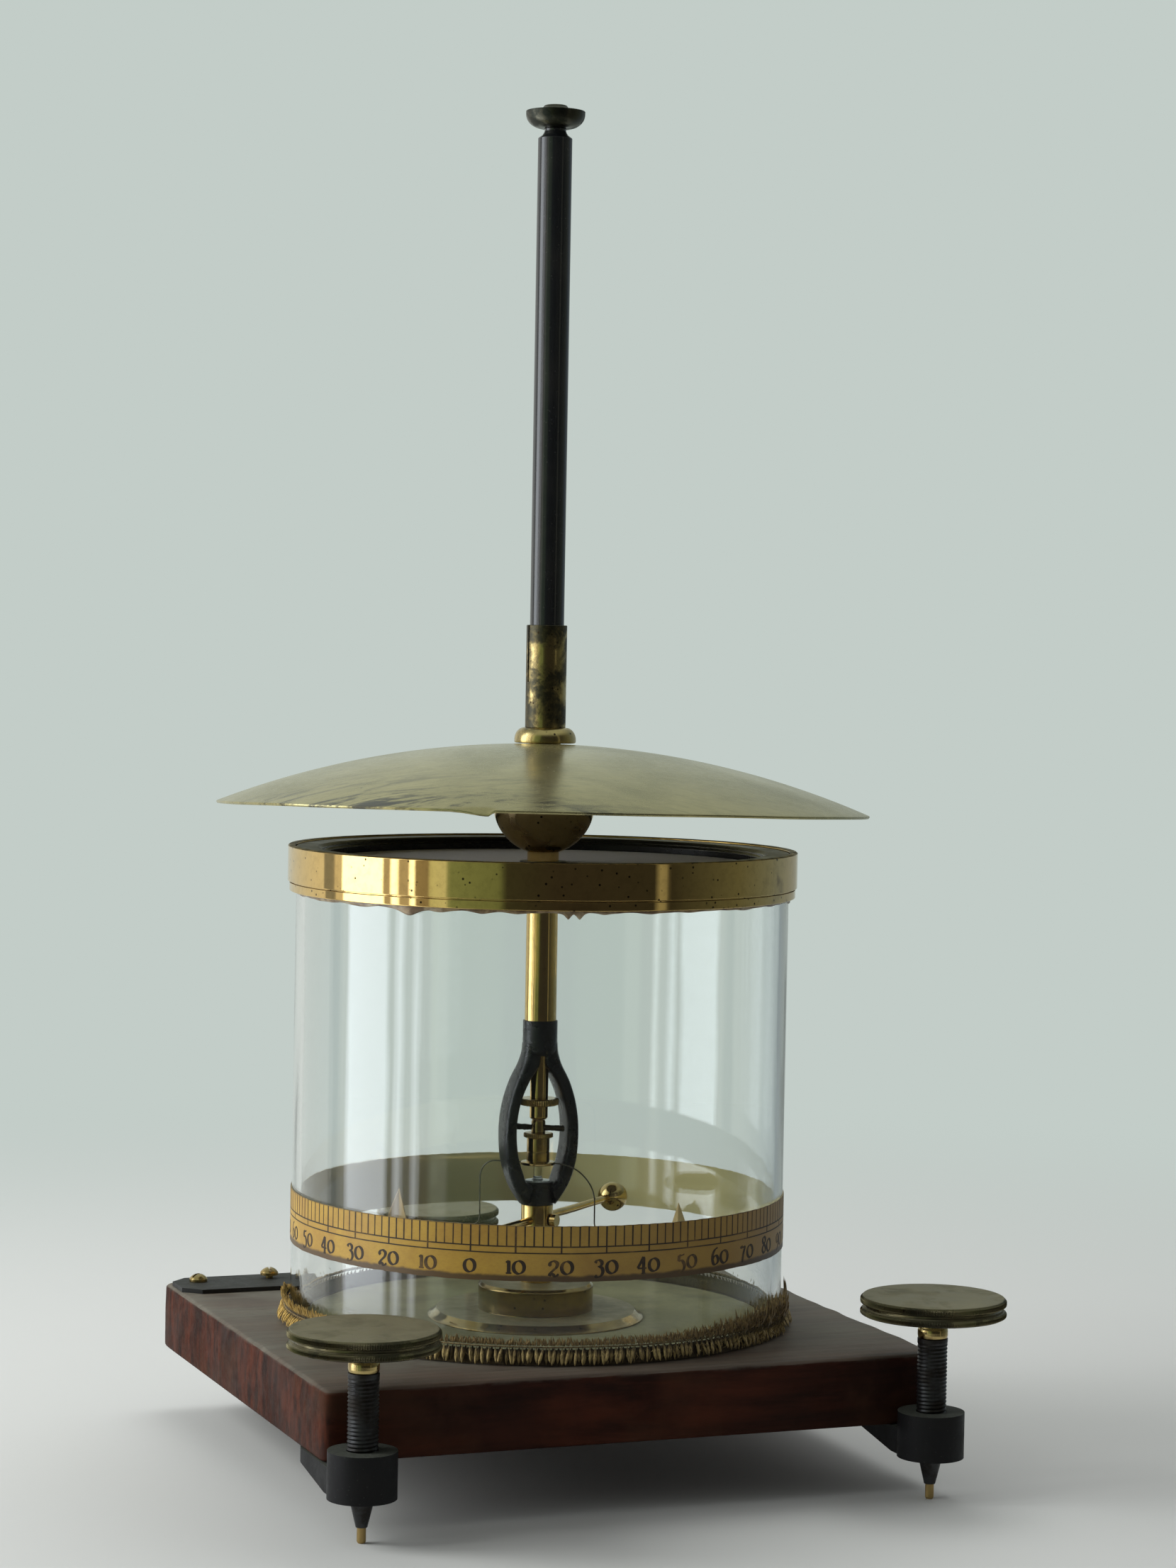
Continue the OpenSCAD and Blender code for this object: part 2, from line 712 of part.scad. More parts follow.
module yoke_stem() {
    color(brass) translate([0, 0, stem_z]) cylinder(d = stem_d, h = stem_top - stem_z);
}

module arrest_nut() {
    color(brass) translate([0, 0, nut_z])
        ring(stem_d / 2 + run_clear, nut_d / 2, nut_t);
}

module pivot_pillar() {
    color(clear_glass) difference() {
        translate([0, 0, foot_top - pillar_seat])
            cylinder(r = pillar_r, h = pillar_h + pillar_seat);
        translate([0, 0, pillar_top - 2]) cylinder(d = steel_d + 2 * run_clear, h = 3);
    }
}

module pivot_point() {
    color(steel) translate([0, 0, pillar_top - 1.9]) {
        cylinder(d = steel_d, h = 1.9);
        translate([0, 0, 1.9])
            cylinder(d1 = steel_d, d2 = 0.12, h = steel_len);
    }
}

module needle_cap() {
    color(brass) difference() {
        union() {
            translate([0, 0, cap_z]) cylinder(d = cap_flange_d, h = cap_flange_t);
            translate([0, 0, cap_flange_top]) cylinder(d = cap_d, h = cap_h);
        }
        translate([0, 0, cap_z - 1])
            cylinder(d = cap_bore_d, h = steel_top + jewel_gap + jewel_t - cap_z + 1);
    }
}

module cap_jewel() {
    r = cap_bore_d / 2 - run_clear;
    z = steel_top + jewel_gap;
    color([0.45, 0.12, 0.10]) translate([0, 0, z]) difference() {
        cylinder(r = r, h = jewel_t);
        translate([0, 0, -0.8]) cylinder(r1 = 1.2, r2 = 0, h = 1.6);
    }
}

module cap_ring() {
    color(brass) translate([0, 0, cap_top]) cylinder(d = ring_d, h = ring_t);
}

module magnet_holder() {
    color(brass) difference() {
        translate([0, 0, ring_top]) cylinder(d = holder_d, h = holder_h);
        rotate([0, 0, needle_angle]) translate([0, 0, magnet_z]) rotate([0, 90, 0])
            cylinder(d = magnet_d + 2 * run_clear, h = 2 * holder_d, center = true);
    }
}

module magnet_bar() {
    color(steel) rotate([0, 0, needle_angle]) translate([0, 0, magnet_z])
        rotate([0, 90, 0]) cylinder(d = magnet_d, h = magnet_len, center = true);
}

// One side of the wire: out from the cap, over a bend, down, and out to the vane
module wire_half() {
    r = wire_d / 2;
    drop_top = wire_z - wire_bend_r;
    foot_z = wire_low_z + wire_foot_r;
    x0 = cap_flange_d / 2 - 0.4;
    x1 = wire_drop_r - wire_bend_r;
    x2 = wire_drop_r + wire_foot_r;
    translate([x0, 0, wire_z]) rotate([0, 90, 0]) cylinder(r = r, h = x1 - x0, $fn = 24);
    translate([x1, 0, drop_top]) rotate([90, 0, 0])
        rotate_extrude(angle = 90) translate([wire_bend_r, 0]) circle(r = r, $fn = 24);
    translate([wire_drop_r, 0, foot_z]) cylinder(r = r, h = drop_top - foot_z, $fn = 24);
    translate([x2, 0, foot_z]) rotate([90, 0, 0]) rotate([0, 0, 180])
        rotate_extrude(angle = 90) translate([wire_foot_r, 0]) circle(r = r, $fn = 24);
    translate([x2, 0, wire_low_z]) rotate([0, 90, 0])
        cylinder(r = r, h = vane_r - x2, $fn = 24);
}

module needle_wires() {
    color(steel) rotate([0, 0, needle_angle]) {
        wire_half();
        rotate([0, 0, 180]) wire_half();
    }
}

// A triangle of paper folded down its middle, point upwards
module vane() {
    half = vane_w / 2;
    for (side = [-1, 1]) {
        turn = atan2(vane_fold, half) * side;
        length = norm([half, vane_fold]);
        translate([vane_r, -vane_fold / 2, vane_z]) rotate([0, 0, side > 0 ? turn : 180 + turn])
            rotate([90, 0, 0]) translate([0, 0, -paper_t / 2]) linear_extrude(paper_t)
                polygon([[0, 0], [length, 0], [0, vane_h]]);
    }
}

module needle_vanes() {
    color([0.93, 0.88, 0.72]) rotate([0, 0, needle_angle]) {
        vane();
        rotate([0, 0, 180]) vane();
    }
}

module arm_rod() {
    half = arm_reach - arm_ball_d / 2 + 1;
    color(brass) translate([0, 0, arm_z]) rotate([0, 0, arm_angle]) rotate([0, 90, 0])
        cylinder(d = arm_d, h = 2 * half, center = true);
}

module arm_balls() {
    color(brass) translate([0, 0, arm_z]) rotate([0, 0, arm_angle]) rotate([0, 90, 0])
        difference() {
            for (x = [-arm_reach, arm_reach]) translate([0, 0, x]) sphere(d = arm_ball_d);
            cylinder(d = arm_d + 2 * run_clear,
                     h = 2 * (arm_reach - arm_ball_d / 2 + 1.1), center = true);
        }
}

module clamp_screw() {
    color(brass) translate([0, 0, arm_z]) rotate([0, 0, clamp_angle]) rotate([0, 90, 0]) {
        translate([0, 0, clamp_head_r]) cylinder(d = clamp_head_d, h = clamp_head_t);
        translate([0, 0, arm_d / 2 + face_gap])
            cylinder(d = clamp_d, h = clamp_head_r - arm_d / 2 - face_gap);
    }
}

module main_rod() {
    color(brass) translate([0, 0, rod_z]) cylinder(r = rod_r, h = rod_top - rod_z);
}

module shield_ball() {
    color(brass) difference() {
        translate([0, 0, ball_z]) sphere(d = ball_d);
        translate([0, 0, ball_z - ball_d]) cylinder(r = rod_bore_r, h = 2 * ball_d);
    }
}

// The shield is a thin spherical cap. A point of its sheet is found from its angle off
// the axis, seen from the middle of the sphere.
function cap_points(r, from, to, steps, z) =
    [for (i = [0:steps]) let (a = from + (to - from) * i / steps)
        [r * sin(a), z + r * (cos(a) - 1)]];

module shield_dish() {
    hole = rod_bore_r + 0.2;
    in_r = dish_curve_r - dish_t;
    rim_a = asin(dish_d / 2 / dish_curve_r);
    outer = cap_points(dish_curve_r, asin(hole / dish_curve_r), rim_a, 30, dish_top);
    inner = cap_points(in_r, asin(hole / in_r), rim_a, 30, dish_under);
    color(dull_brass) translate([0, 0, dish_top])
        rotate(a = dish_lean, v = [-sin(dish_lean_dir), cos(dish_lean_dir), 0])
            translate([0, 0, -dish_top]) rotate_extrude($fn = 180)
                polygon(concat(outer, [for (i = [30:-1:0]) inner[i]]));
}

module shield_collar() {
    r = collar_d / 2;
    top_r = sleeve_d / 2 + 0.2;
    edge_h = 1.1;
    color(brass) translate([0, 0, collar_z]) rotate_extrude()
        polygon(concat([[rod_bore_r, 0], [r, 0]],
            [for (a = [0:10:90]) [top_r + (r - top_r) * cos(a),
                                  edge_h + (collar_h - edge_h) * sin(a)]],
            [[rod_bore_r, collar_h]]));
}

module split_sleeve() {
    color(brass) difference() {
        translate([0, 0, sleeve_z]) cylinder(d = sleeve_d, h = sleeve_h);
        translate([0, 0, sleeve_z - 1]) cylinder(r = rod_bore_r, h = rod_seat + 2);
        translate([0, 0, rod_top + 0.5]) cylinder(r = sleeve_bore_r, h = sleeve_h);
        translate([-sleeve_d, -slit_w / 2, sleeve_top - slit_len])
            cube([2 * sleeve_d, slit_w, slit_len + 1]);
    }
}

module collector_tube() {
    r = tube_d / 2;
    in_r = r - tube_wall;
    neck_r = top_neck_d / 2;
    plug_z = tube_top - 12;
    color(dark_bronze) rotate_extrude()
        polygon([[in_r, tube_z], [r, tube_z], [r, tube_top - tube_shoulder],
                 [neck_r, tube_top], [neck_r, bowl_z], [0, bowl_z], [0, plug_z],
                 [in_r, plug_z]]);
}

// A shallow bowl closed by a low cone
module terminal_bowl() {
    neck_r = top_neck_d / 2;
    r = bowl_d / 2;
    cone_h = 1.2;
    under = [for (a = [0:10:90]) [neck_r + (r - neck_r) * sin(a), bowl_h * (1 - cos(a))]];
    color(dark_bronze) translate([0, 0, bowl_z]) rotate_extrude()
        polygon(concat([[0, 0]], under,
            [[r - bowl_rim_h, bowl_h + 0.2], [button_d / 2, bowl_h + cone_h],
             [0, bowl_h + cone_h]]));
}

module top_button() {
    r = button_d / 2;
    color(dark_bronze) translate([0, 0, bowl_z + bowl_h + 1.2]) rotate_extrude()
        polygon([[0, 0], [r, 0], [r, 0.35 * button_h], [0.78 * r, 0.85 * button_h],
                 [0.5 * r, button_h], [0, button_h]]);
}

// A levelling screw: brass tip, tapered point, thread and the spigot for the head
module screw_shaft() {
    r = thread_d / 2;
    tip_r = tip_d / 2;
    color(black_iron) rotate_extrude()
        polygon([[0, 0], [0.75 * tip_r, 0], [tip_r, 0.6], [tip_r, tip_len],
                 [tip_r + 0.4, tip_len], [point_root_d / 2, point_len],
                 [r - 0.6, point_len + 0.4], [r, point_len + 1.2], [r, thread_z],
                 [spigot_d / 2, thread_z], [spigot_d / 2, thread_z + spigot_len],
                 [0, thread_z + spigot_len]]);
}

module front_left_screw() { at_front_left() screw_shaft(); }
module front_right_screw() { at_front_right() screw_shaft(); }
module rear_screw() { at_rear() screw_shaft(); }

// The head: a neck and two knurled rims with a groove between them
module screw_head() {
    r = head_d / 2;
    bore_r = spigot_d / 2 + run_clear;
    rim_h = (head_t - head_groove_w) / 2;
    top = neck_len + head_t;
    color(brass) translate([0, 0, thread_z]) rotate_extrude()
        polygon([[bore_r, 0], [neck_d / 2, 0], [neck_d / 2, neck_len],
                 [r - 0.8, neck_len], [r, neck_len + 0.7], [r, neck_len + rim_h - 0.6],
                 [r - head_groove_d, neck_len + rim_h],
                 [r - head_groove_d, neck_len + rim_h + head_groove_w],
                 [r, top - rim_h + 0.6], [r, top - 0.7], [r - 0.8, top], [0, top],
                 [0, spigot_len + 0.2], [bore_r, spigot_len + 0.2]]);
}

module front_left_head() { at_front_left() screw_head(); }
module front_right_head() { at_front_right() screw_head(); }
module rear_head() { at_rear() screw_head(); }

base_board();
base_lining();
front_left_lug();
front_right_lug();
rear_lug();
lug_screws();
corner_plate();
plate_screws();
glass_cylinder();
scale_band();
foot_braid();
lid_rim();
lid_moulding();
lid_plate();
lid_bush();
lid_cement();
base_flange();
plinth();
column();
centre_bolt();
centre_nut();
yoke();
yoke_stem();
pivot_pillar();
pivot_point();
main_rod();
shield_ball();
shield_dish();
shield_collar();
split_sleeve();
collector_tube();
terminal_bowl();
top_button();
arrest_nut();
needle_cap();
cap_ring();
cap_jewel();
magnet_holder();
magnet_bar();
needle_wires();
needle_vanes();
arm_rod();
arm_balls();
clamp_screw();
front_left_screw();
front_right_screw();
rear_screw();
front_left_head();
front_right_head();
rear_head();
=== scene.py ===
import logging
import math
from dataclasses import dataclass, field
from enum import Enum
from functools import cache
from typing import Sequence

import bpy
import numpy as np
from mathutils import Matrix, Vector


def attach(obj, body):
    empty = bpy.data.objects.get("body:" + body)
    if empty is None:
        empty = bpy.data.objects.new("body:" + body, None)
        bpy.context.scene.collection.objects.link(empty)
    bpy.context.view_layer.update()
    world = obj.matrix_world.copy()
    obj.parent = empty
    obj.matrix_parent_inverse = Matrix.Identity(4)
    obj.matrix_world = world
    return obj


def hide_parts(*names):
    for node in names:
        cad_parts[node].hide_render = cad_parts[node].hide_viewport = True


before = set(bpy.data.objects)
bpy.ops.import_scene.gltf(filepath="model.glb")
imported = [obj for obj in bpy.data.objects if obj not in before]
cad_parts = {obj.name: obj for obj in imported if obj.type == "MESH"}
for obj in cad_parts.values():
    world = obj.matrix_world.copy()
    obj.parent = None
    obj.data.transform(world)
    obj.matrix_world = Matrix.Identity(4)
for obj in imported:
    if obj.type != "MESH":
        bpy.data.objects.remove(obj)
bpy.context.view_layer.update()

LOG = logging.getLogger("electrometer")
Array = np.ndarray
Colour = tuple[float, float, float]
Socket = bpy.types.NodeSocket
Material = bpy.types.Material
MM = 0.001
TAU = 2 * math.pi
# Edges that turn by more degrees than CREASE stay sharp. A rounding takes at most a share of
# a corner's shorter side, and the points that keep the flats flat lie a little past it.
CREASE = 32.0
ROUNDING_SHARE, FLAT_SHARE, FLAT_MOST = 0.42, 0.06, 0.3


# Surfaces


@dataclass
class Skin:
    """A surface in millimetres: points, and faces of four and of three corners."""

    points: Array
    quads: Array
    tris: Array = field(default_factory=lambda: np.zeros((0, 3), int))

    @staticmethod
    def grid(points: Array, loop: bool = False, rim: bool = False) -> "Skin":
        """Joins a grid of points by quads; the last column joins the first.

        Args:
            points: array of rows by columns by 3.
            loop: the last row joins the first; otherwise each is drawn together into a pole.
            rim: the last row isn't drawn together.

        Returns:
            The skin, with a fan of triangles at each pole.
        """
        rows, columns = points.shape[:2]
        points = points.astype(float).copy()
        index = np.arange(rows * columns).reshape(rows, columns)
        for end in () if loop else (0,) if rim else (0, -1):
            points[end] = points[end].mean(0)
            index[end] = index[end, 0]
        if loop:
            index = np.vstack([index, index[:1]])
        index = np.hstack([index, index[:, :1]])
        corners = np.stack([index[:-1, :-1], index[1:, :-1], index[1:, 1:], index[:-1, 1:]],
                           -1).reshape(-1, 4)
        at_start = corners[:, 0] == corners[:, 3]
        at_end = corners[:, 1] == corners[:, 2]
        tris = np.vstack([corners[at_start][:, [0, 1, 2]], corners[at_end][:, [0, 1, 3]]])
        return Skin(points.reshape(-1, 3), corners[~(at_start | at_end)], tris).tidy().outward()

    @staticmethod
    def capped(points: Array) -> "Skin":
        """A grid whose first and last rows are closed by flat caps."""
        return Skin.grid(np.concatenate([points[:1], points, points[-1:]]))

    @staticmethod
    def many(base: "Skin", points: Array) -> "Skin":
        """Repeats one skin's faces over several sets of points.

        Args:
            base: the skin whose faces are repeated.
            points: array of copies by points by 3.

        Returns:
            One skin of all the copies.
        """
        copies, count = points.shape[:2]
        step = (np.arange(copies) * count)[:, None, None]
        return Skin(points.reshape(-1, 3), (base.quads[None] + step).reshape(-1, 4),
                    (base.tris[None] + step).reshape(-1, 3))

    @staticmethod
    def joined(skins: Sequence["Skin"]) -> "Skin":
        """Puts several skins in one, each with its own points."""
        starts = np.cumsum([0] + [len(s.points) for s in skins[:-1]])
        return Skin(np.vstack([s.points for s in skins]),
                    np.vstack([s.quads + n for s, n in zip(skins, starts)]),
                    np.vstack([s.tris + n for s, n in zip(skins, starts)]))

    def tidy(self) -> "Skin":
        """Drops points that no face uses."""
        used, packed = np.unique(np.concatenate([self.quads.ravel(), self.tris.ravel()]),
                                 return_inverse=True)
        cut = self.quads.size
        return Skin(self.points[used], packed[:cut].reshape(-1, 4), packed[cut:].reshape(-1, 3))

    def outward(self) -> "Skin":
        """Turns the faces outwards, by the sign of the volume that they enclose."""
        tris = np.vstack([self.quads[:, [0, 1, 2]], self.quads[:, [0, 2, 3]], self.tris])
        a, b, c = (self.points[tris[:, i]] - self.points.mean(0) for i in range(3))
        if np.einsum("ij,ij->i", a, np.cross(b, c)).sum() < 0:
            return Skin(self.points, self.quads[:, ::-1], self.tris[:, ::-1])
        return self

    def moved(self, shift: Sequence[float] = (0, 0, 0), turn: float = 0.0) -> "Skin":
        """Turns the skin about Z by turn degrees, then shifts it."""
        spin = np.array(Matrix.Rotation(math.radians(turn), 3, "Z"))
        return Skin(self.points @ spin.T + np.array(shift, float), self.quads, self.tris)

    def leaned(self, angle: float, axis: Sequence[float], about: Sequence[float]) -> "Skin":
        """Turns the skin by angle degrees about an axis through a point."""
        spin = np.array(Matrix.Rotation(math.radians(angle), 3, Vector(axis)))
        return Skin((self.points - about) @ spin.T + about, self.quads, self.tris)

    def mesh(self, name: str, crease: float = CREASE) -> bpy.types.Mesh:
        """Writes the skin into a mesh, in metres.

        Args:
            name: the mesh's name.
            crease: edges that turn by more than this many degrees stay sharp.

        Returns:
            The new mesh.
        """
        mesh = bpy.data.meshes.new(name)
        mesh.vertices.add(len(self.points))
        mesh.vertices.foreach_set("co", (self.points * MM).astype(np.float32).ravel())
        corners = np.concatenate([self.quads.ravel(), self.tris.ravel()]).astype(np.int32)
        sizes = np.repeat([4, 3], [len(self.quads), len(self.tris)])
        mesh.loops.add(len(corners))
        mesh.loops.foreach_set("vertex_index", corners)
        mesh.polygons.add(len(sizes))
        mesh.polygons.foreach_set("loop_start", (np.cumsum(sizes) - sizes).astype(np.int32))
        mesh.update(calc_edges=True)
        mesh.validate()
        mesh.shade_smooth()
        mesh.set_sharp_from_angle(angle=math.radians(crease))
        return mesh


def unit(vectors: Array) -> Array:
    """Each vector over its own length."""
    return vectors / np.maximum(np.linalg.norm(vectors, axis=-1, keepdims=True), 1e-12)


def round_angles(count: int) -> Array:
    """Equal steps round a circle, from 0."""
    return np.linspace(0, TAU, count, endpoint=False)


def polar(r: Array | float, a: Array, z: Array | float) -> Array:
    """Points (r cos a, r sin a, z)."""
    return np.stack(np.broadcast_arrays(r * np.cos(a), r * np.sin(a), z), -1)


def outline(corners: Sequence[Sequence[float]], fillet: float, steps: int = 4) -> Array:
    """A profile with rounded corners, closed unless one of its ends is on the axis.

    Each corner P gives a curve (1-s)^2 A + 2s(1-s) P + s^2 B, where A and B lie on its two
    sides at the fillet's reach. A further point on either side keeps the flats flat.

    Args:
        corners: radius and height of each corner, and the corner's own fillet if it has one.
        fillet: reach of the rounding of the other corners.
        steps: pieces of each curve.

    Returns:
        Array of points by 2.
    """
    points = np.array([c[:2] for c in corners], float)
    reach = np.array([c[2] if len(c) > 2 else fillet for c in corners], float)
    back, ahead = np.roll(points, 1, 0) - points, np.roll(points, -1, 0) - points
    room = np.minimum(np.linalg.norm(back, axis=1), np.linalg.norm(ahead, axis=1))
    reach = np.minimum(reach, ROUNDING_SHARE * room)
    flat = np.minimum(FLAT_MOST, FLAT_SHARE * room)
    to_back, to_ahead = unit(back), unit(ahead)
    s = np.linspace(0, 1, steps + 1)[None, :, None]
    start = (points + to_back * reach[:, None])[:, None]
    end = (points + to_ahead * reach[:, None])[:, None]
    curve = (1 - s) ** 2 * start + 2 * s * (1 - s) * points[:, None] + s ** 2 * end
    rows = np.concatenate([start + (to_back * flat[:, None])[:, None], curve,
                           end + (to_ahead * flat[:, None])[:, None]], 1)
    if points[[0, -1], 0].min() > 0:
        return rows.reshape(-1, 2)
    return np.vstack([points[:1], rows[1:-1].reshape(-1, 2), points[-1:]])


def lathe(rows: Array, sides: int) -> Skin:
    """Turns a profile about Z: a point is (r cos a, r sin a, z).

    Args:
        rows: radius and height of its points, a loop or from the axis to the axis.
        sides: divisions round the axis.

    Returns:
        The turned skin.
    """
    return Skin.grid(polar(rows[:, :1], round_angles(sides), rows[:, 1:]), rows[0, 0] > 0)


def knurled(rows: Array, teeth: int, depth: float, low: float, high: float,
            samples: int = 6) -> Skin:
    """A turned solid whose outermost band is cut by fine straight teeth.

    A point's radius is its profile's radius less depth times the tooth's wave, which is
    the absolute sine of half the teeth's angle, faded in from low to high.

    Args:
        rows: open profile from the axis to the axis.
        teeth: teeth round the edge.
        depth: depth of a tooth.
        low: radius inside which nothing is cut.
        high: radius from which the teeth are full.
        samples: points for each tooth.

    Returns:
        The knurled skin.
    """
    a = round_angles(teeth * samples)
    wave = 1 - np.abs(np.sin(a * teeth / 2))
    share = np.clip((rows[:, :1] - low) / (high - low), 0, 1)
    return Skin.grid(polar(rows[:, :1] - depth * wave * share, a, rows[:, 1:]))


def swept(path: Array, side: Array, up: Array, section: Array, loop: bool = False) -> Skin:
    """Carries a section along a path: a point is path + x side + y up.

    Args:
        path: points of the path.
        side: direction of the section's x at each of them.
        up: direction of the section's y at each of them.
        section: closed outline of the section, x and y.
        loop: the path is closed; otherwise its ends are capped.

    Returns:
        The swept skin.
    """
    points = path[:, None] + (section[None, :, :1] * side[:, None]
                              + section[None, :, 1:] * up[:, None])
    return Skin.grid(points, loop=True) if loop else Skin.capped(points)


def round_section(radius: float, sides: int) -> Array:
    """Points of a circle, (r cos a, r sin a)."""
    return polar(radius, round_angles(sides), 0.0)[:, :2]


def spline(points: Sequence[Sequence[float]] | Array, steps: int, loop: bool = False) -> Array:
    """A smooth curve through the points, by the cubic of each four neighbours.

    Args:
        points: the points that the curve passes through.
        steps: pieces between two of them.
        loop: the curve is closed.

    Returns:
        Points of the curve.
    """
    p = np.array(points, float)
    if loop:
        p = np.vstack([p[-1:], p, p[:2]])
    else:
        p = np.vstack([2 * p[:1] - p[1:2], p, 2 * p[-1:] - p[-2:-1]])
    t = np.linspace(0, 1, steps, endpoint=False)[None, :, None]
    p0, p1, p2, p3 = (p[i:len(p) - 3 + i][:, None] for i in range(4))
    curve = 0.5 * (2 * p1 + (p2 - p0) * t + (2 * p0 - 5 * p1 + 4 * p2 - p3) * t ** 2
                   + (3 * p1 - p0 - 3 * p2 + p3) * t ** 3)
    curve = curve.reshape(-1, p.shape[1])
    return curve if loop else np.vstack([curve, p[-2:-1]])


def waves(angle: Array, seed: int, counts: Sequence[int]) -> Array:
    """A smooth uneven line round a circle: a sum of sines of whole counts.

    Args:
        angle: angles in radians.
        seed: seed of the sines' sizes and phases.
        counts: waves round the circle of each sine.

    Returns:
        The line's values, roughly from -1 to 1.
    """
    draw = np.random.default_rng(seed)
    n = np.array(counts, float)
    size = draw.uniform(0.4, 1.0, len(n)) / np.sqrt(len(n))
    phase = draw.uniform(0, TAU, len(n))
    return (size * np.sin(angle[..., None] * n + phase)).sum(-1)


def off_by(angles: Array, degrees: float) -> Array:
    """How far angles in radians lie past a direction, from -180 to 180 degrees."""
    return np.degrees(np.angle(np.exp(1j * (angles - math.radians(degrees)))))


# Finishes


class Bench:
    """A node tree, with short calls for the few steps that every tree here uses."""

    def __init__(self, tree: bpy.types.NodeTree) -> None:
        """Starts with an empty tree."""
        self.tree = tree
        self.tree.nodes.clear()

    def add(self, kind: str, inputs: dict | None = None, **settings: object) -> bpy.types.Node:
        """Adds a node, with its settings and what its inputs get."""
        node = self.tree.nodes.new(kind)
        for key, value in settings.items():
            setattr(node, key, value)
        for key, value in (inputs or {}).items():
            self.put(node.inputs[key], value)
        return node

    def put(self, socket: Socket, value: object) -> None:
        """Links a socket to an output, or sets its number or colour."""
        if isinstance(value, Socket):
            self.tree.links.new(value, socket)
        elif socket.type == "RGBA" and len(value) == 3:
            socket.default_value = (*value, 1.0)
        else:
            socket.default_value = value

    def level(self, value: object, low: float, high: float, to_low: float = 0.0,
              to_high: float = 1.0) -> Socket:
        """Carries low..high smoothly to to_low..to_high, held at both ends."""
        ends = {"From Min": low, "From Max": high, "To Min": to_low, "To Max": to_high}
        return self.add("ShaderNodeMapRange", {"Value": value, **ends},
                        interpolation_type="SMOOTHSTEP").outputs[0]

    def sum(self, kind: str, a: object, b: object = 0.0, clamp: bool = False) -> Socket:
        """One arithmetic step on two values."""
        node = self.add("ShaderNodeMath", operation=kind, use_clamp=clamp)
        self.put(node.inputs[0], a)
        self.put(node.inputs[1], b)
        return node.outputs[0]

    def blend(self, amount: object, a: object, b: object) -> Socket:
        """Colour a with amount of colour b."""
        node = self.add("ShaderNodeMix", data_type="RGBA")
        for slot, value in ((0, amount), (6, a), (7, b)):
            self.put(node.inputs[slot], value)
        return node.outputs[2]

    def either(self, amount: object, a: Socket, b: Socket) -> Socket:
        """Shader a with amount of shader b."""
        return self.add("ShaderNodeMixShader", {0: amount, 1: a, 2: b}).outputs[0]

    def rays(self) -> tuple[Socket, ...]:
        """How a place is looked at: straight or through glass, and in a reflection."""
        path = self.add("ShaderNodeLightPath")
        mirrored = self.sum("GREATER_THAN", path.outputs["Glossy Depth"], 0.5)
        direct = self.sum("MAXIMUM", path.outputs["Is Camera Ray"],
                          path.outputs["Is Transmission Ray"])
        seen = self.sum("MAXIMUM", direct, path.outputs["Is Glossy Ray"])
        return self.sum("SUBTRACT", direct, mirrored, clamp=True), mirrored, seen


class Recipe(Bench):
    """A material's nodes, with short calls for the few kinds that the finishes use."""

    def __init__(self, name: str) -> None:
        """Starts a material with one shader on Object coordinates."""
        self.material = bpy.data.materials.new(name)
        self.material.use_nodes = True
        super().__init__(self.material.node_tree)
        self.shader = self.add("ShaderNodeBsdfPrincipled")
        self.output = self.add("ShaderNodeOutputMaterial")
        self.tree.links.new(self.shader.outputs["BSDF"], self.output.inputs["Surface"])
        self.coords = self.add("ShaderNodeTexCoord").outputs["Object"]

    def place(self, scale: Sequence[float] = (1, 1, 1), turn: float = 0.0) -> Socket:
        """Object coordinates, scaled and turned about Z in degrees."""
        return self.add("ShaderNodeMapping", {"Vector": self.coords, "Scale": scale,
                                              "Rotation": (0, 0, math.radians(turn))}
                        ).outputs[0]

    def noise(self, size: float, vector: Socket | None = None, detail: float = 4,
              rough: float = 0.55, twist: float = 0.0) -> Socket:
        """Cloudy noise whose largest patches are about size millimetres across."""
        return self.add("ShaderNodeTexNoise", {"Vector": vector or self.coords,
                                               "Scale": 1 / (size * MM), "Detail": detail,
                                               "Roughness": rough, "Distortion": twist}
                        ).outputs[0]

    def cells(self, size: float) -> Socket:
        """Distance to the nearest of scattered points, size millimetres apart."""
        inputs = {"Vector": self.coords, "Scale": 1 / (size * MM)}
        return self.add("ShaderNodeTexVoronoi", inputs).outputs["Distance"]

    def parts(self) -> tuple[Socket, ...]:
        """X, Y and Z of the Object coordinates, in metres."""
        return tuple(self.add("ShaderNodeSeparateXYZ", {0: self.coords}).outputs)

    def from_axis(self) -> Socket:
        """Distance from the upright axis, in metres."""
        level = self.add("ShaderNodeVectorMath", {0: self.coords, 1: (1, 1, 0)},
                         operation="MULTIPLY").outputs[0]
        return self.add("ShaderNodeVectorMath", {0: level}, operation="LENGTH").outputs["Value"]

    def facing_up(self) -> Socket:
        """How much the surface faces up, from -1 to 1."""
        normal = self.add("ShaderNodeNewGeometry").outputs["Normal"]
        return self.add("ShaderNodeSeparateXYZ", {0: normal}).outputs[2]

    def bump(self, height: object, strength: float, deep: float,
             under: Socket | None = None) -> Socket:
        """Relief of deep millimetres from a height of 0 to 1, on top of another relief."""
        node = self.add("ShaderNodeBump", {"Height": height, "Strength": strength,
                                           "Distance": deep * MM})
        if under is not None:
            self.put(node.inputs["Normal"], under)
        return node.outputs[0]

    def lines(self, size: float) -> Socket:
        """Fine uneven turning lines round the upright axis, size millimetres apart."""
        along = self.add("ShaderNodeCombineXYZ", {0: self.from_axis(), 2: self.parts()[2]})
        return self.noise(size, along.outputs[0], detail=2, rough=0.7)

    def dress(self, **sockets: object) -> Material:
        """Sets the shader's sockets, named with _ for a space, and returns the material."""
        for key, value in sockets.items():
            self.put(self.shader.inputs[key.replace("_", " ")], value)
        return self.material


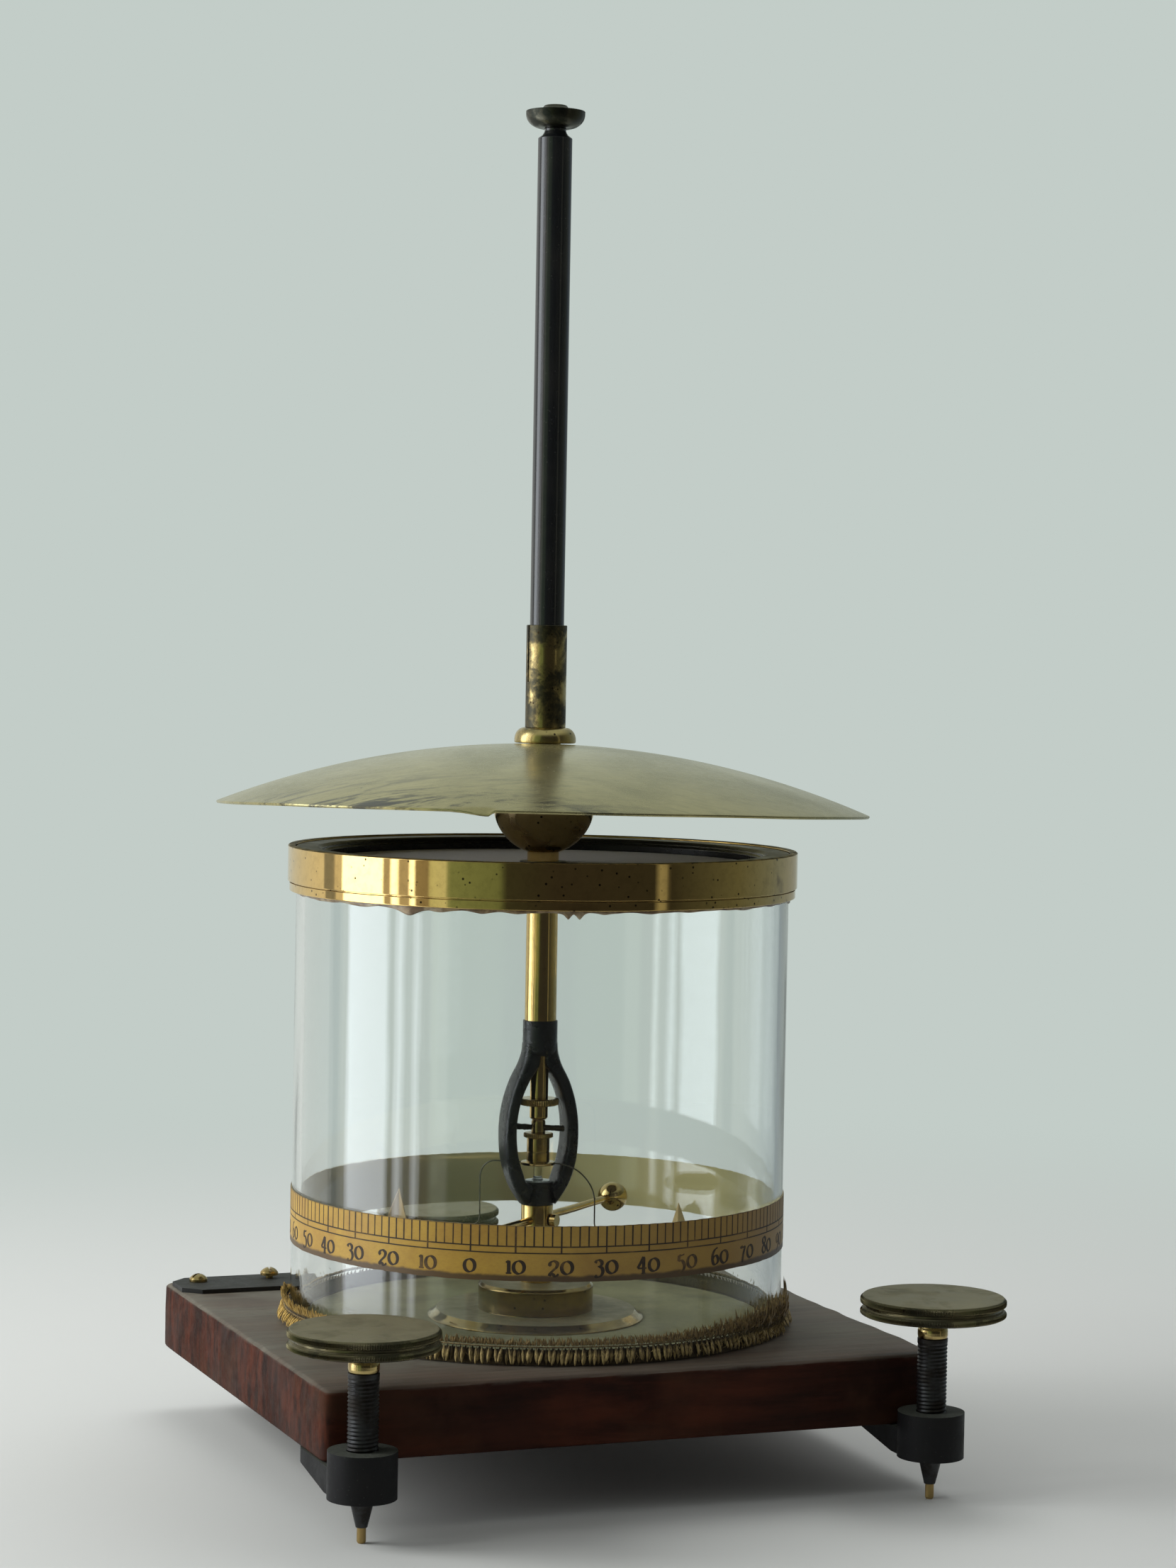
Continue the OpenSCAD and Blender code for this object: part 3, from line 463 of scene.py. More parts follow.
@dataclass(frozen=True)
class Finish:
    """What every finish has: its name and the record's slot that it belongs to."""

    name: str
    slot: str

    def paint(self) -> Material:
        """Makes the finish's material."""
        raise NotImplementedError


@dataclass(frozen=True)
class Brass(Finish):
    """Turned brass under old lacquer: clean metal, brown tarnish in patches, dark specks."""

    slot: str = "brass"
    clean: Colour = (0.74, 0.52, 0.2)
    tarnish: Colour = (0.3, 0.2, 0.085)
    speck: Colour = (0.05, 0.035, 0.02)
    patches: float = 26.0
    worn: float = 0.35
    specks: float = 0.18
    gloss: float = 0.16
    dull: float = 0.42
    line: float = 0.5
    line_depth: float = 0.02
    # Colour laid on upward faces: dust, but on the rim a near-black painted shade.
    dust: Colour = (0.3, 0.29, 0.24)
    dusty: float = 0.0
    lie_from: float = 0.7
    grain: float = 0.02

    def paint(self) -> Material:
        """Tarnish in patches, specks over both, dust on upward faces, painted shade on the rim.
        """
        r = Recipe(self.name)
        cloud = r.noise(self.patches, detail=6, rough=0.62, twist=0.4)
        stain = r.level(cloud, 0.62 - 0.3 * self.worn, 0.8 - 0.3 * self.worn)
        colour = r.blend(stain, self.clean, self.tarnish)
        fine = r.noise(3.0, detail=5, rough=0.7)
        colour = r.blend(r.level(fine, 0.42, 0.72, 0.0, 0.4), colour,
                         tuple(c * 0.62 for c in self.clean))
        dots = r.level(r.cells(2.6), 0.1, 0.2, 1.0, 0.0)
        sparse = r.level(r.noise(9.0, detail=2), 0.62 - self.specks, 0.7 - self.specks)
        dots = r.sum("MULTIPLY", dots, sparse)
        colour = r.blend(dots, colour, self.speck)
        rough = r.level(r.sum("ADD", stain, r.sum("MULTIPLY", fine, 0.35)), 0.1, 1.1,
                        self.gloss, self.dull)
        metal = 1.0
        # Upward faces take the dust colour; on the rim it is a near-black painted shade.
        if self.dusty > 0:
            up = r.level(r.facing_up(), self.lie_from, self.lie_from + 0.15, 0.0, self.dusty)
            lie = r.sum("MULTIPLY", up, r.level(r.noise(7.0, detail=6, rough=0.7), 0.25, 0.7,
                                                0.55, 1.0))
            colour = r.blend(lie, colour, self.dust)
            rough = r.sum("ADD", rough, r.sum("MULTIPLY", lie, 0.45), clamp=True)
            metal = r.sum("SUBTRACT", 1.0, r.sum("MULTIPLY", lie, 0.75))
        relief = r.bump(r.lines(self.line), 0.35, self.line_depth)
        relief = r.bump(fine, 0.12, self.grain, relief)
        return r.dress(Base_Color=colour, Metallic=metal, Roughness=rough, Normal=relief)


@dataclass(frozen=True)
class Mahogany(Finish):
    """The old board: red-brown ends and sides, a dull top grey with dust."""

    red: Colour = (0.074, 0.019, 0.009)
    dark: Colour = (0.016, 0.006, 0.004)
    brown: Colour = (0.085, 0.036, 0.018)
    top: Colour = (0.098, 0.074, 0.056)
    top_dark: Colour = (0.05, 0.036, 0.028)
    top_red: Colour = (0.105, 0.058, 0.038)
    dust: Colour = (0.2, 0.205, 0.168)
    top_z: float = 45.2
    front_y: float = -99.0

    def paint(self) -> Material:
        """Streaks drawn out along the grain, dust on the top and in the edges."""
        r = Recipe(self.name)
        grain = r.place(scale=(0.05, 1.0, 0.35), turn=3)
        streak = r.noise(4.2, grain, detail=7, rough=0.62, twist=0.25)
        figure = r.noise(16, r.place(scale=(0.2, 1.0, 0.1)), detail=5, rough=0.55, twist=1.1)
        pores = r.level(r.noise(0.9, r.place(scale=(0.045, 1.0, 0.12)), detail=2), 0.58, 0.7)
        side = r.blend(r.level(streak, 0.34, 0.66), self.dark, self.red)
        side = r.blend(r.level(figure, 0.4, 0.62, 0.0, 0.62), side, self.dark)
        side = r.blend(r.level(r.noise(30), 0.45, 0.7, 0.0, 0.35), side, self.brown)
        top = r.blend(r.level(streak, 0.3, 0.7), self.top_dark, self.top)
        top = r.blend(r.level(figure, 0.35, 0.7, 0.0, 0.45), top, self.top_red)
        cloud = r.noise(34, detail=7, rough=0.66, twist=0.5)
        fine = r.noise(2.2, detail=6, rough=0.72)
        lie = r.sum("MULTIPLY", r.level(cloud, 0.3, 0.68, 0.22, 0.78),
                    r.level(fine, 0.25, 0.7, 0.55, 1.0))
        deep = r.level(r.parts()[1], self.front_y * MM, (self.front_y + 55) * MM, 0.3, 1.0)
        top = r.blend(r.sum("MULTIPLY", lie, deep), top, self.dust)
        top = r.blend(r.sum("MULTIPLY", pores, 0.5), top, (0.06, 0.045, 0.035))
        up = r.level(r.facing_up(), 0.35, 0.85)
        colour = r.blend(up, side, top)
        height = r.parts()[2]
        worn = r.level(height, (self.top_z - 1.6) * MM, self.top_z * MM)
        worn = r.sum("MULTIPLY", worn, r.sum("SUBTRACT", 1.0, up))
        worn = r.sum("MULTIPLY", worn, r.level(r.noise(12, detail=5), 0.42, 0.66, 0.0, 0.28))
        colour = r.blend(worn, colour, self.dust)
        rough = r.level(lie, 0.0, 1.0, 0.46, 0.82)
        relief = r.bump(streak, 0.25, 0.25)
        relief = r.bump(pores, 0.35, -0.08, relief)
        relief = r.bump(fine, 0.25, 0.06, relief)
        return r.dress(Base_Color=colour, Roughness=rough, Normal=relief,
                       Specular_IOR_Level=0.1)


@dataclass(frozen=True)
class Blackwork(Finish):
    """Black metal or ebonite: near black with grey dust or bare wear in patches."""

    black: Colour = (0.02, 0.021, 0.023)
    worn: Colour = (0.075, 0.072, 0.066)
    wear: float = 0.4
    size: float = 9.0
    gloss: float = 0.3
    dull: float = 0.55
    # Colour laid on upward faces: dust; on the lid plate and the moulding partly painted sheen.
    dust: Colour = (0.2, 0.19, 0.165)
    dusty: float = 0.25
    grit: float = 0.05
    streaks: float = 0.0
    sheen: float = 0.0
    shine: float = 0.5

    def paint(self) -> Material:
        """Cloudy wear over black, upward dust, partly painted sheen, fine grit in relief."""
        r = Recipe(self.name)
        cloud = r.noise(self.size, detail=6, rough=0.65, twist=0.3)
        colour = r.blend(r.level(cloud, 0.42, 0.78, 0.0, self.wear), self.black, self.worn)
        if self.streaks > 0:
            drawn = r.noise(1.6, r.place(scale=(1, 1, 0.035)), detail=5, rough=0.6)
            colour = r.blend(r.level(drawn, 0.46, 0.7, 0.0, self.streaks), colour, self.worn)
        fine = r.noise(0.9, detail=5, rough=0.7)
        up = r.level(r.facing_up(), 0.3, 0.95, 0.0, self.dusty)
        lie = r.sum("MULTIPLY", up, r.level(fine, 0.3, 0.7, 0.35, 1.0))
        colour = r.blend(lie, colour, self.dust)
        specks = r.level(r.cells(1.7), 0.08, 0.16, 0.35 * self.wear, 0.0)
        colour = r.blend(specks, colour, self.dust)
        rough = r.level(cloud, 0.3, 0.75, self.gloss, self.dull)
        rough = r.sum("ADD", rough, r.sum("MULTIPLY", lie, 0.5), clamp=True)
        return r.dress(Base_Color=colour, Roughness=rough, Specular_IOR_Level=self.shine,
                       Normal=r.bump(fine, 0.3, self.grit), Sheen_Weight=self.sheen,
                       Sheen_Roughness=0.35)


@dataclass(frozen=True)
class Steel(Finish):
    """Dark cut steel with oil-brown patches; below tip_z the metal is brass."""

    grey: Colour = (0.115, 0.112, 0.108)
    brown: Colour = (0.04, 0.032, 0.025)
    tip: Colour = (0.4, 0.28, 0.11)
    tip_z: float = -1.0
    gloss: float = 0.28
    dull: float = 0.5

    def paint(self) -> Material:
        """Brown clouds over grey metal, with brass under the tip's height."""
        r = Recipe(self.name)
        cloud = r.noise(7, detail=6, rough=0.65)
        colour = r.blend(r.level(cloud, 0.4, 0.66), self.grey, self.brown)
        if self.tip_z > 0:
            low = r.level(r.parts()[2], (self.tip_z - 0.1) * MM, (self.tip_z + 0.1) * MM, 1, 0)
            colour = r.blend(low, colour, self.tip)
        relief = r.bump(r.noise(0.5, detail=3), 0.15, 0.03)
        return r.dress(Base_Color=colour, Metallic=0.85, Normal=relief,
                       Roughness=r.level(cloud, 0.3, 0.7, self.gloss, self.dull))


@dataclass(frozen=True)
class OldGlass(Finish):
    """Clear blown glass, slightly uneven, with a faint smear of dust."""

    tint: Colour = (0.965, 0.985, 0.975)
    smear: float = 0.05

    def paint(self) -> Material:
        """Clear glass; its long shallow waves run up the jar."""
        r = Recipe(self.name)
        wave = r.noise(26, r.place(scale=(1, 1, 0.25)), detail=2, rough=0.4)
        smear = r.level(r.noise(18, r.place(scale=(1, 1, 0.4)), detail=5), 0.45, 0.75, 0.01,
                        self.smear)
        r.dress(Base_Color=self.tint, Roughness=smear, Normal=r.bump(wave, 0.5, 0.35), IOR=1.54,
                Transmission_Weight=1.0)
        clear = r.add("ShaderNodeBsdfTransparent", {"Color": (0.93, 0.95, 0.94)})
        shadow = r.add("ShaderNodeLightPath").outputs["Is Shadow Ray"]
        r.put(r.output.inputs["Surface"],
              r.either(shadow, r.shader.outputs[0], clear.outputs[0]))
        return r.material


@dataclass(frozen=True)
class Paper(Finish):
    """Paper or card: its colour, browner stains, painted shade on a band, and fibre in relief.
    """

    sheet: Colour = (0.46, 0.29, 0.042)
    stain: Colour = (0.29, 0.15, 0.03)
    back: Colour = (0.6, 0.51, 0.26)
    # Colour of the dark edges: dirt, and at the lower edge also a painted shadow line.
    edge: Colour = (0.06, 0.034, 0.016)
    # Colour of the band's right side: browner stain with painted shade.
    aged: Colour = (0.235, 0.14, 0.034)
    inside_of: float = 0.0
    edge_low: float = 0.0
    edge_top: float = 0.0
    stained: float = 0.6
    rough: float = 0.55
    coat: float = 0.0

    def paint(self) -> Material:
        """Stains and painted shade over the sheet; a band's inner side is plain, its lower edge
        dark.
        """
        r = Recipe(self.name)
        cloud = r.noise(20, detail=6, rough=0.65, twist=0.3)
        fibre = r.noise(1.4, r.place(scale=(1, 1, 2.2)), detail=5, rough=0.7)
        colour = r.blend(r.level(cloud, 0.4, 0.72, 0.0, self.stained), self.sheet, self.stain)
        colour = r.blend(r.level(fibre, 0.4, 0.7, 0.0, 0.3), colour, self.stain)
        if self.edge_low > 0:
            # Painted shade: the band's right side is browner, partly stain and partly shade.
            x, y, _ = r.parts()
            side = r.sum("SUBTRACT", r.sum("MULTIPLY", x, 0.9), r.sum("MULTIPLY", y, 0.2))
            colour = r.blend(r.level(side, -0.045, 0.08, 0.0, 0.8), colour, self.aged)
            # The lower edge is dark with dirt and a painted shadow line; the top edge is
            # darkened too.
            wander = r.sum("MULTIPLY", r.noise(5, detail=4), 1.6 * MM)
            z = r.sum("SUBTRACT", r.parts()[2], wander)
            low = r.level(z, (self.edge_low - 0.6) * MM, (self.edge_low + 0.5) * MM, 0.92, 0)
            top = r.level(r.parts()[2], (self.edge_top - 0.45) * MM, self.edge_top * MM, 0,
                          0.75)
            colour = r.blend(r.sum("MAXIMUM", low, top), colour, self.edge)
        if self.inside_of > 0:
            inner = r.level(r.from_axis(), (self.inside_of - 0.1) * MM, self.inside_of * MM,
                            1, 0)
            colour = r.blend(inner, colour, self.back)
        return r.dress(Base_Color=colour, Roughness=self.rough, Coat_Weight=self.coat,
                       Coat_Roughness=0.35, Normal=r.bump(fibre, 0.25, 0.06))


@dataclass(frozen=True)
class Ink(Finish):
    """Printed black, rubbed away in places to the paper's brown."""

    black: Colour = (0.03, 0.019, 0.012)
    rubbed: Colour = (0.2, 0.115, 0.032)

    def paint(self) -> Material:
        """Rubbed patches over the black."""
        r = Recipe(self.name)
        rub = r.level(r.noise(11, detail=6, rough=0.7), 0.47, 0.72, 0.0, 0.75)
        return r.dress(Base_Color=r.blend(rub, self.black, self.rubbed), Roughness=0.6)


@dataclass(frozen=True)
class Yarn(Finish):
    """Twisted yarn: khaki tufts, a rust-brown fringe above the binding, painted light and
    shade.
    """

    gold: Colour = (0.6, 0.4, 0.105)
    khaki: Colour = (0.43, 0.33, 0.13)
    rust: Colour = (0.25, 0.17, 0.066)
    # Colour of the painted shade: in gaps, under the binding and near the glass.
    brown: Colour = (0.03, 0.021, 0.012)
    binding: float = 51.7
    core: float = 86.5

    def paint(self) -> Material:
        """Khaki, rust above the binding, painted highlight at left, painted shade near the
        glass.
        """
        r = Recipe(self.name)
        x, y, z = r.parts()
        # Painted highlight: yellow on the far left, where the light falls.
        left = r.level(r.sum("SUBTRACT", r.sum("MULTIPLY", x, -1.0),
                             r.sum("MULTIPLY", y, -0.15)), 0.062, 0.08)
        cloud = r.noise(5, detail=5, rough=0.65)
        base = r.blend(r.level(cloud, 0.4, 0.7, 0.0, 0.5), self.khaki, self.rust)
        above = r.level(z, self.binding * MM, (self.binding + 0.6) * MM, 0.0, 0.85)
        base = r.blend(above, base, self.rust)
        base = r.blend(left, base, self.gold)
        strand = r.noise(0.5, r.place(scale=(1, 1, 0.22)), detail=3, rough=0.6)
        # Painted shade: dark streaks in the gaps between strands.
        base = r.blend(r.level(strand, 0.36, 0.6, 0.7, 0.0), base, self.brown)
        # Painted shade just under the binding cord.
        foot = r.level(z, (self.binding - 0.9) * MM, (self.binding - 2.2) * MM, 0.6, 0.0)
        base = r.blend(r.sum("MULTIPLY", foot, r.sum("SUBTRACT", 1.0, above)), base, self.brown)
        # Painted shade close to the glass, less on the fringe above the binding.
        inward = r.sum("ADD", r.from_axis(), r.sum("MULTIPLY", above, 1.4 * MM))
        deep = r.level(inward, self.core * MM, (self.core + 1.1) * MM, 0.92, 0.0)
        base = r.blend(deep, base, self.brown)
        return r.dress(Base_Color=base, Roughness=0.9, Normal=r.bump(strand, 0.7, 0.18),
                       Sheen_Weight=0.2, Sheen_Roughness=0.5)


@dataclass(frozen=True)
class Cement(Finish):
    """Shellac cement: dark brown runs with pale cloudy drops."""

    brown: Colour = (0.12, 0.07, 0.032)
    amber: Colour = (0.3, 0.215, 0.11)
    pale: Colour = (0.46, 0.4, 0.27)

    def paint(self) -> Material:
        """Amber and pale clouds over the brown, under a soft gloss."""
        r = Recipe(self.name)
        cloud = r.noise(6, detail=5, rough=0.6)
        colour = r.blend(r.level(cloud, 0.4, 0.62), self.brown, self.amber)
        milk = r.level(r.noise(13, detail=4), 0.52, 0.66, 0.0, 0.8)
        colour = r.blend(milk, colour, self.pale)
        return r.dress(Base_Color=colour, Roughness=0.34, Coat_Weight=0.3, Coat_Roughness=0.2,
                       Normal=r.bump(r.noise(1.2, detail=4), 0.4, 0.15))


@dataclass(frozen=True)
class Shield(Finish):
    """The shield's old brass: olive khaki under dust, dark stains near its front edge."""

    brass: Colour = (0.5, 0.445, 0.215)
    olive: Colour = (0.35, 0.32, 0.16)
    stain: Colour = (0.085, 0.08, 0.058)

    def paint(self) -> Material:
        """Olive clouds, stains that gather at the front, dust and fine scratches."""
        r = Recipe(self.name)
        cloud = r.noise(48, detail=7, rough=0.62, twist=0.4)
        fine = r.noise(1.6, detail=6, rough=0.75)
        drawn = r.add("ShaderNodeVectorMath", {0: r.place(turn=20.7), 1: (0.3, 1.6, 1.0)},
                      operation="MULTIPLY").outputs[0]
        colour = r.blend(r.level(cloud, 0.35, 0.68), self.brass, self.olive)
        streak = r.level(r.noise(2.6, drawn, detail=6, rough=0.7), 0.42, 0.66, 0.0, 0.6)
        colour = r.blend(streak, colour, self.olive)
        x, y, _ = r.parts()
        front = r.level(r.sum("ADD", r.sum("MULTIPLY", x, -0.7),
                              r.sum("MULTIPLY", y, -0.72)), 0.07, 0.112)
        patch = r.level(r.noise(11, drawn, detail=8, rough=0.75, twist=0.6), 0.48, 0.6)
        colour = r.blend(r.sum("MULTIPLY", front, patch), colour, self.stain)
        spots = r.level(r.cells(7.5), 0.04, 0.09, 0.7, 0.0)
        keep = r.level(r.noise(22, detail=2), 0.52, 0.6)
        colour = r.blend(r.sum("MULTIPLY", spots, keep), colour, self.stain)
        rough = r.level(r.sum("ADD", cloud, fine), 0.7, 1.3, 0.18, 0.3)
        relief = r.bump(fine, 0.2, 0.025)
        relief = r.bump(r.noise(60, detail=2), 0.3, 0.4, relief)
        return r.dress(Base_Color=colour, Metallic=0.82, Roughness=rough, Normal=relief)


@dataclass(frozen=True)
class Garnet(Finish):
    """The polished bearing cup."""

    red: Colour = (0.2, 0.018, 0.014)

    def paint(self) -> Material:
        """Dark red with faint veins."""
        r = Recipe(self.name)
        vein = r.level(r.noise(0.6, detail=3), 0.4, 0.7, 0.0, 0.5)
        return r.dress(Base_Color=r.blend(vein, self.red, (0.06, 0.004, 0.004)), Roughness=0.08)


class Coat(Enum):
    """The finishes of this instrument, one material for each."""

    BOARD = Mahogany("board mahogany", "wood")
    # The rim's near-black dust colour is painted shade on its top and on the lip's ledge under
    # the band.
    RIM = Brass("rim brass", gloss=0.035, dull=0.15, worn=0.16, specks=0.15,
        patches=30, line_depth=0.002, dusty=0.95, dust=(0.02, 0.019, 0.017), lie_from=0.35)
    ROD = Brass("rod brass", gloss=0.08, dull=0.24, worn=0.25, specks=0.05, patches=16,
        line_depth=0.006)
    BASE = Brass("base brass", clean=(0.38, 0.275, 0.115), tarnish=(0.2, 0.145, 0.07),
        gloss=0.1, dull=0.24, worn=0.4, dusty=0.92, dust=(0.19, 0.178, 0.112), lie_from=0.84,
        specks=0.1, line_depth=0.003, grain=0.005)
    NEEDLE = Brass("needle brass", clean=(0.5, 0.36, 0.15), gloss=0.14, dull=0.34,
        worn=0.4, patches=8, specks=0.12, line=0.3)
    BALL = Brass("ball brass", clean=(0.84, 0.66, 0.34), tarnish=(0.52, 0.38, 0.21),
        gloss=0.14, dull=0.36, worn=0.45, patches=13, specks=0.1, line_depth=0.004)
    ARM_BALL = Brass("arm ball brass", clean=(0.58, 0.43, 0.18),
        tarnish=(0.32, 0.22, 0.09), gloss=0.07, dull=0.22, worn=0.4, patches=13, specks=0.06,
        line_depth=0.003, grain=0.004)
    COLLAR = Brass("collar brass", clean=(0.58, 0.45, 0.19),
        tarnish=(0.19, 0.16, 0.085), gloss=0.18, dull=0.4, worn=0.45, patches=11, specks=0.25)
    SLEEVE = Brass("sleeve brass", clean=(0.56, 0.43, 0.18),
        tarnish=(0.07, 0.066, 0.047), gloss=0.2, dull=0.44, worn=0.9, patches=9, specks=0.25)
    HEADS = Brass("head brass", clean=(0.15, 0.13, 0.072), tarnish=(0.07, 0.064, 0.04),
        gloss=0.26, dull=0.44, worn=0.5, dusty=0.92, dust=(0.215, 0.2, 0.122), lie_from=0.74,
        patches=14, specks=0.1, line_depth=0.004, grain=0.004)
    NECK = Brass("neck brass", clean=(0.52, 0.4, 0.17), gloss=0.14, dull=0.3, patches=8)
    SMALL = Brass("screw brass", clean=(0.5, 0.37, 0.15), gloss=0.2, dull=0.38,
        worn=0.5, patches=6, dusty=0.15)
    SHIELD = Shield("shield brass", "dull_brass")
    TUBE = Blackwork("tube bronze", "dark_bronze", black=(0.01, 0.012, 0.0135),
        worn=(0.032, 0.031, 0.028), wear=0.4, size=14, gloss=0.11, dull=0.19, streaks=0.25,
        dusty=0.0, grit=0.004, shine=0.75)
    KNOB = Brass("knob bronze", "dark_bronze", clean=(0.1, 0.096, 0.072),
        tarnish=(0.036, 0.04, 0.034), gloss=0.3, dull=0.5, worn=0.6, patches=6, dusty=0.5,
        dust=(0.15, 0.15, 0.11), specks=0.1)
    # Painted sheen: the plate's greys are dust painted paler still, for its grazing reflection
    # under the shield.
    LID = Blackwork("lid bronze", "dark_bronze", black=(0.22, 0.205, 0.195),
        worn=(0.27, 0.25, 0.235), size=18, gloss=0.5, dull=0.65, dusty=0.85,
        dust=(0.43, 0.405, 0.385), sheen=0.25)
    YOKE = Blackwork("yoke japan", "black_iron", black=(0.0055, 0.007, 0.0085),
        worn=(0.013, 0.015, 0.017), size=7, gloss=0.22, dull=0.38, dusty=0.03, wear=0.5,
        grit=0.02, shine=0.42)
    LUG = Blackwork("lug iron", "black_iron", black=(0.006, 0.006, 0.007),
        worn=(0.018, 0.017, 0.016), size=8, gloss=0.45, dull=0.65, grit=0.15, dusty=0.75,
        dust=(0.105, 0.115, 0.095), shine=0.2)
    PLATE = Blackwork("plate iron", "black_iron", black=(0.018, 0.018, 0.018),
        worn=(0.045, 0.045, 0.04), size=6, gloss=0.42, dull=0.62, dusty=0.4,
        dust=(0.07, 0.076, 0.066), grit=0.12, shine=0.2)
    # The grey dust on the moulding's flat top is partly painted sheen.
    MOULDING = Blackwork("moulding black", "ebonite", black=(0.008, 0.0085, 0.009),
        worn=(0.02, 0.02, 0.02), size=16, gloss=0.2, dull=0.34, dusty=0.3,
        dust=(0.1, 0.105, 0.1), grit=0.01, shine=0.35)
    EBONITE = Blackwork("bush ebonite", "ebonite")
    SHAFT = Steel("shaft steel", "steel", grey=(0.05, 0.051, 0.053),
        brown=(0.026, 0.022, 0.019), tip_z=5.0, gloss=0.34, dull=0.5)
    MAGNET = Steel("magnet steel", "steel", grey=(0.06, 0.058, 0.05),
        brown=(0.075, 0.058, 0.026), gloss=0.5, dull=0.75)
    POINT = Steel("point steel", "steel", grey=(0.45, 0.45, 0.46), brown=(0.22, 0.21, 0.2))
    WIRE = Steel("wire", "wire", grey=(0.16, 0.15, 0.125), brown=(0.07, 0.058, 0.042))
    GLASS = OldGlass("jar glass", "glass")
    PILLAR = OldGlass("pillar glass", "glass", tint=(0.8, 0.84, 0.82), smear=0.12)
    SCALE = Paper("scale paper", "scale_paper", inside_of=85.2, edge_low=73.9, edge_top=90.8,
        coat=0.15, rough=0.5)
    INK = Ink("scale ink", "scale_paper")
    LINING = Paper("lining paper", "lining_paper", sheet=(0.26, 0.25, 0.14),
        stain=(0.16, 0.15, 0.092), stained=0.8, rough=0.85)
    VANE = Paper("vane paper", "vane_paper", sheet=(0.62, 0.47, 0.24), stain=(0.46, 0.3, 0.13),
        stained=0.5, rough=0.8)
    YARN = Yarn("braid yarn", "yarn")
    CEMENT = Cement("rim cement", "cement")
    GARNET = Garnet("cap garnet", "jewel")


@cache
def material(coat: Coat) -> Material:
    """The coat's material, made on first use."""
    return coat.value.paint()


def make_pieces(body: str, *rows: tuple) -> None:
    """Makes pieces that all ride on one body.

    Args:
        body: the CAD body.
        rows: for each its name, skin and coat, the CAD node that it stands for or None, and
            the turn in degrees above which its edges stay sharp, if not CREASE.
    """
    for name, skin, coat, node, *crease in rows:
        made = bpy.data.objects.new(name, skin.mesh(name, *crease))
        bpy.context.scene.collection.objects.link(made)
        made.data.materials.append(material(coat))
        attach(made, body)
        if node:
            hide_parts(node)
        LOG.info("%s: %d points on %s", name, len(skin.points), body)


def coat_nodes(coat: Coat, *nodes: str) -> None:
    """Gives CAD nodes that stay their material."""
    for node in nodes:
        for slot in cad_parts[node].material_slots:
            slot.material = material(coat)
        LOG.info("%s: CAD node in %s", node, coat.value.name)


# Sub-assemblies


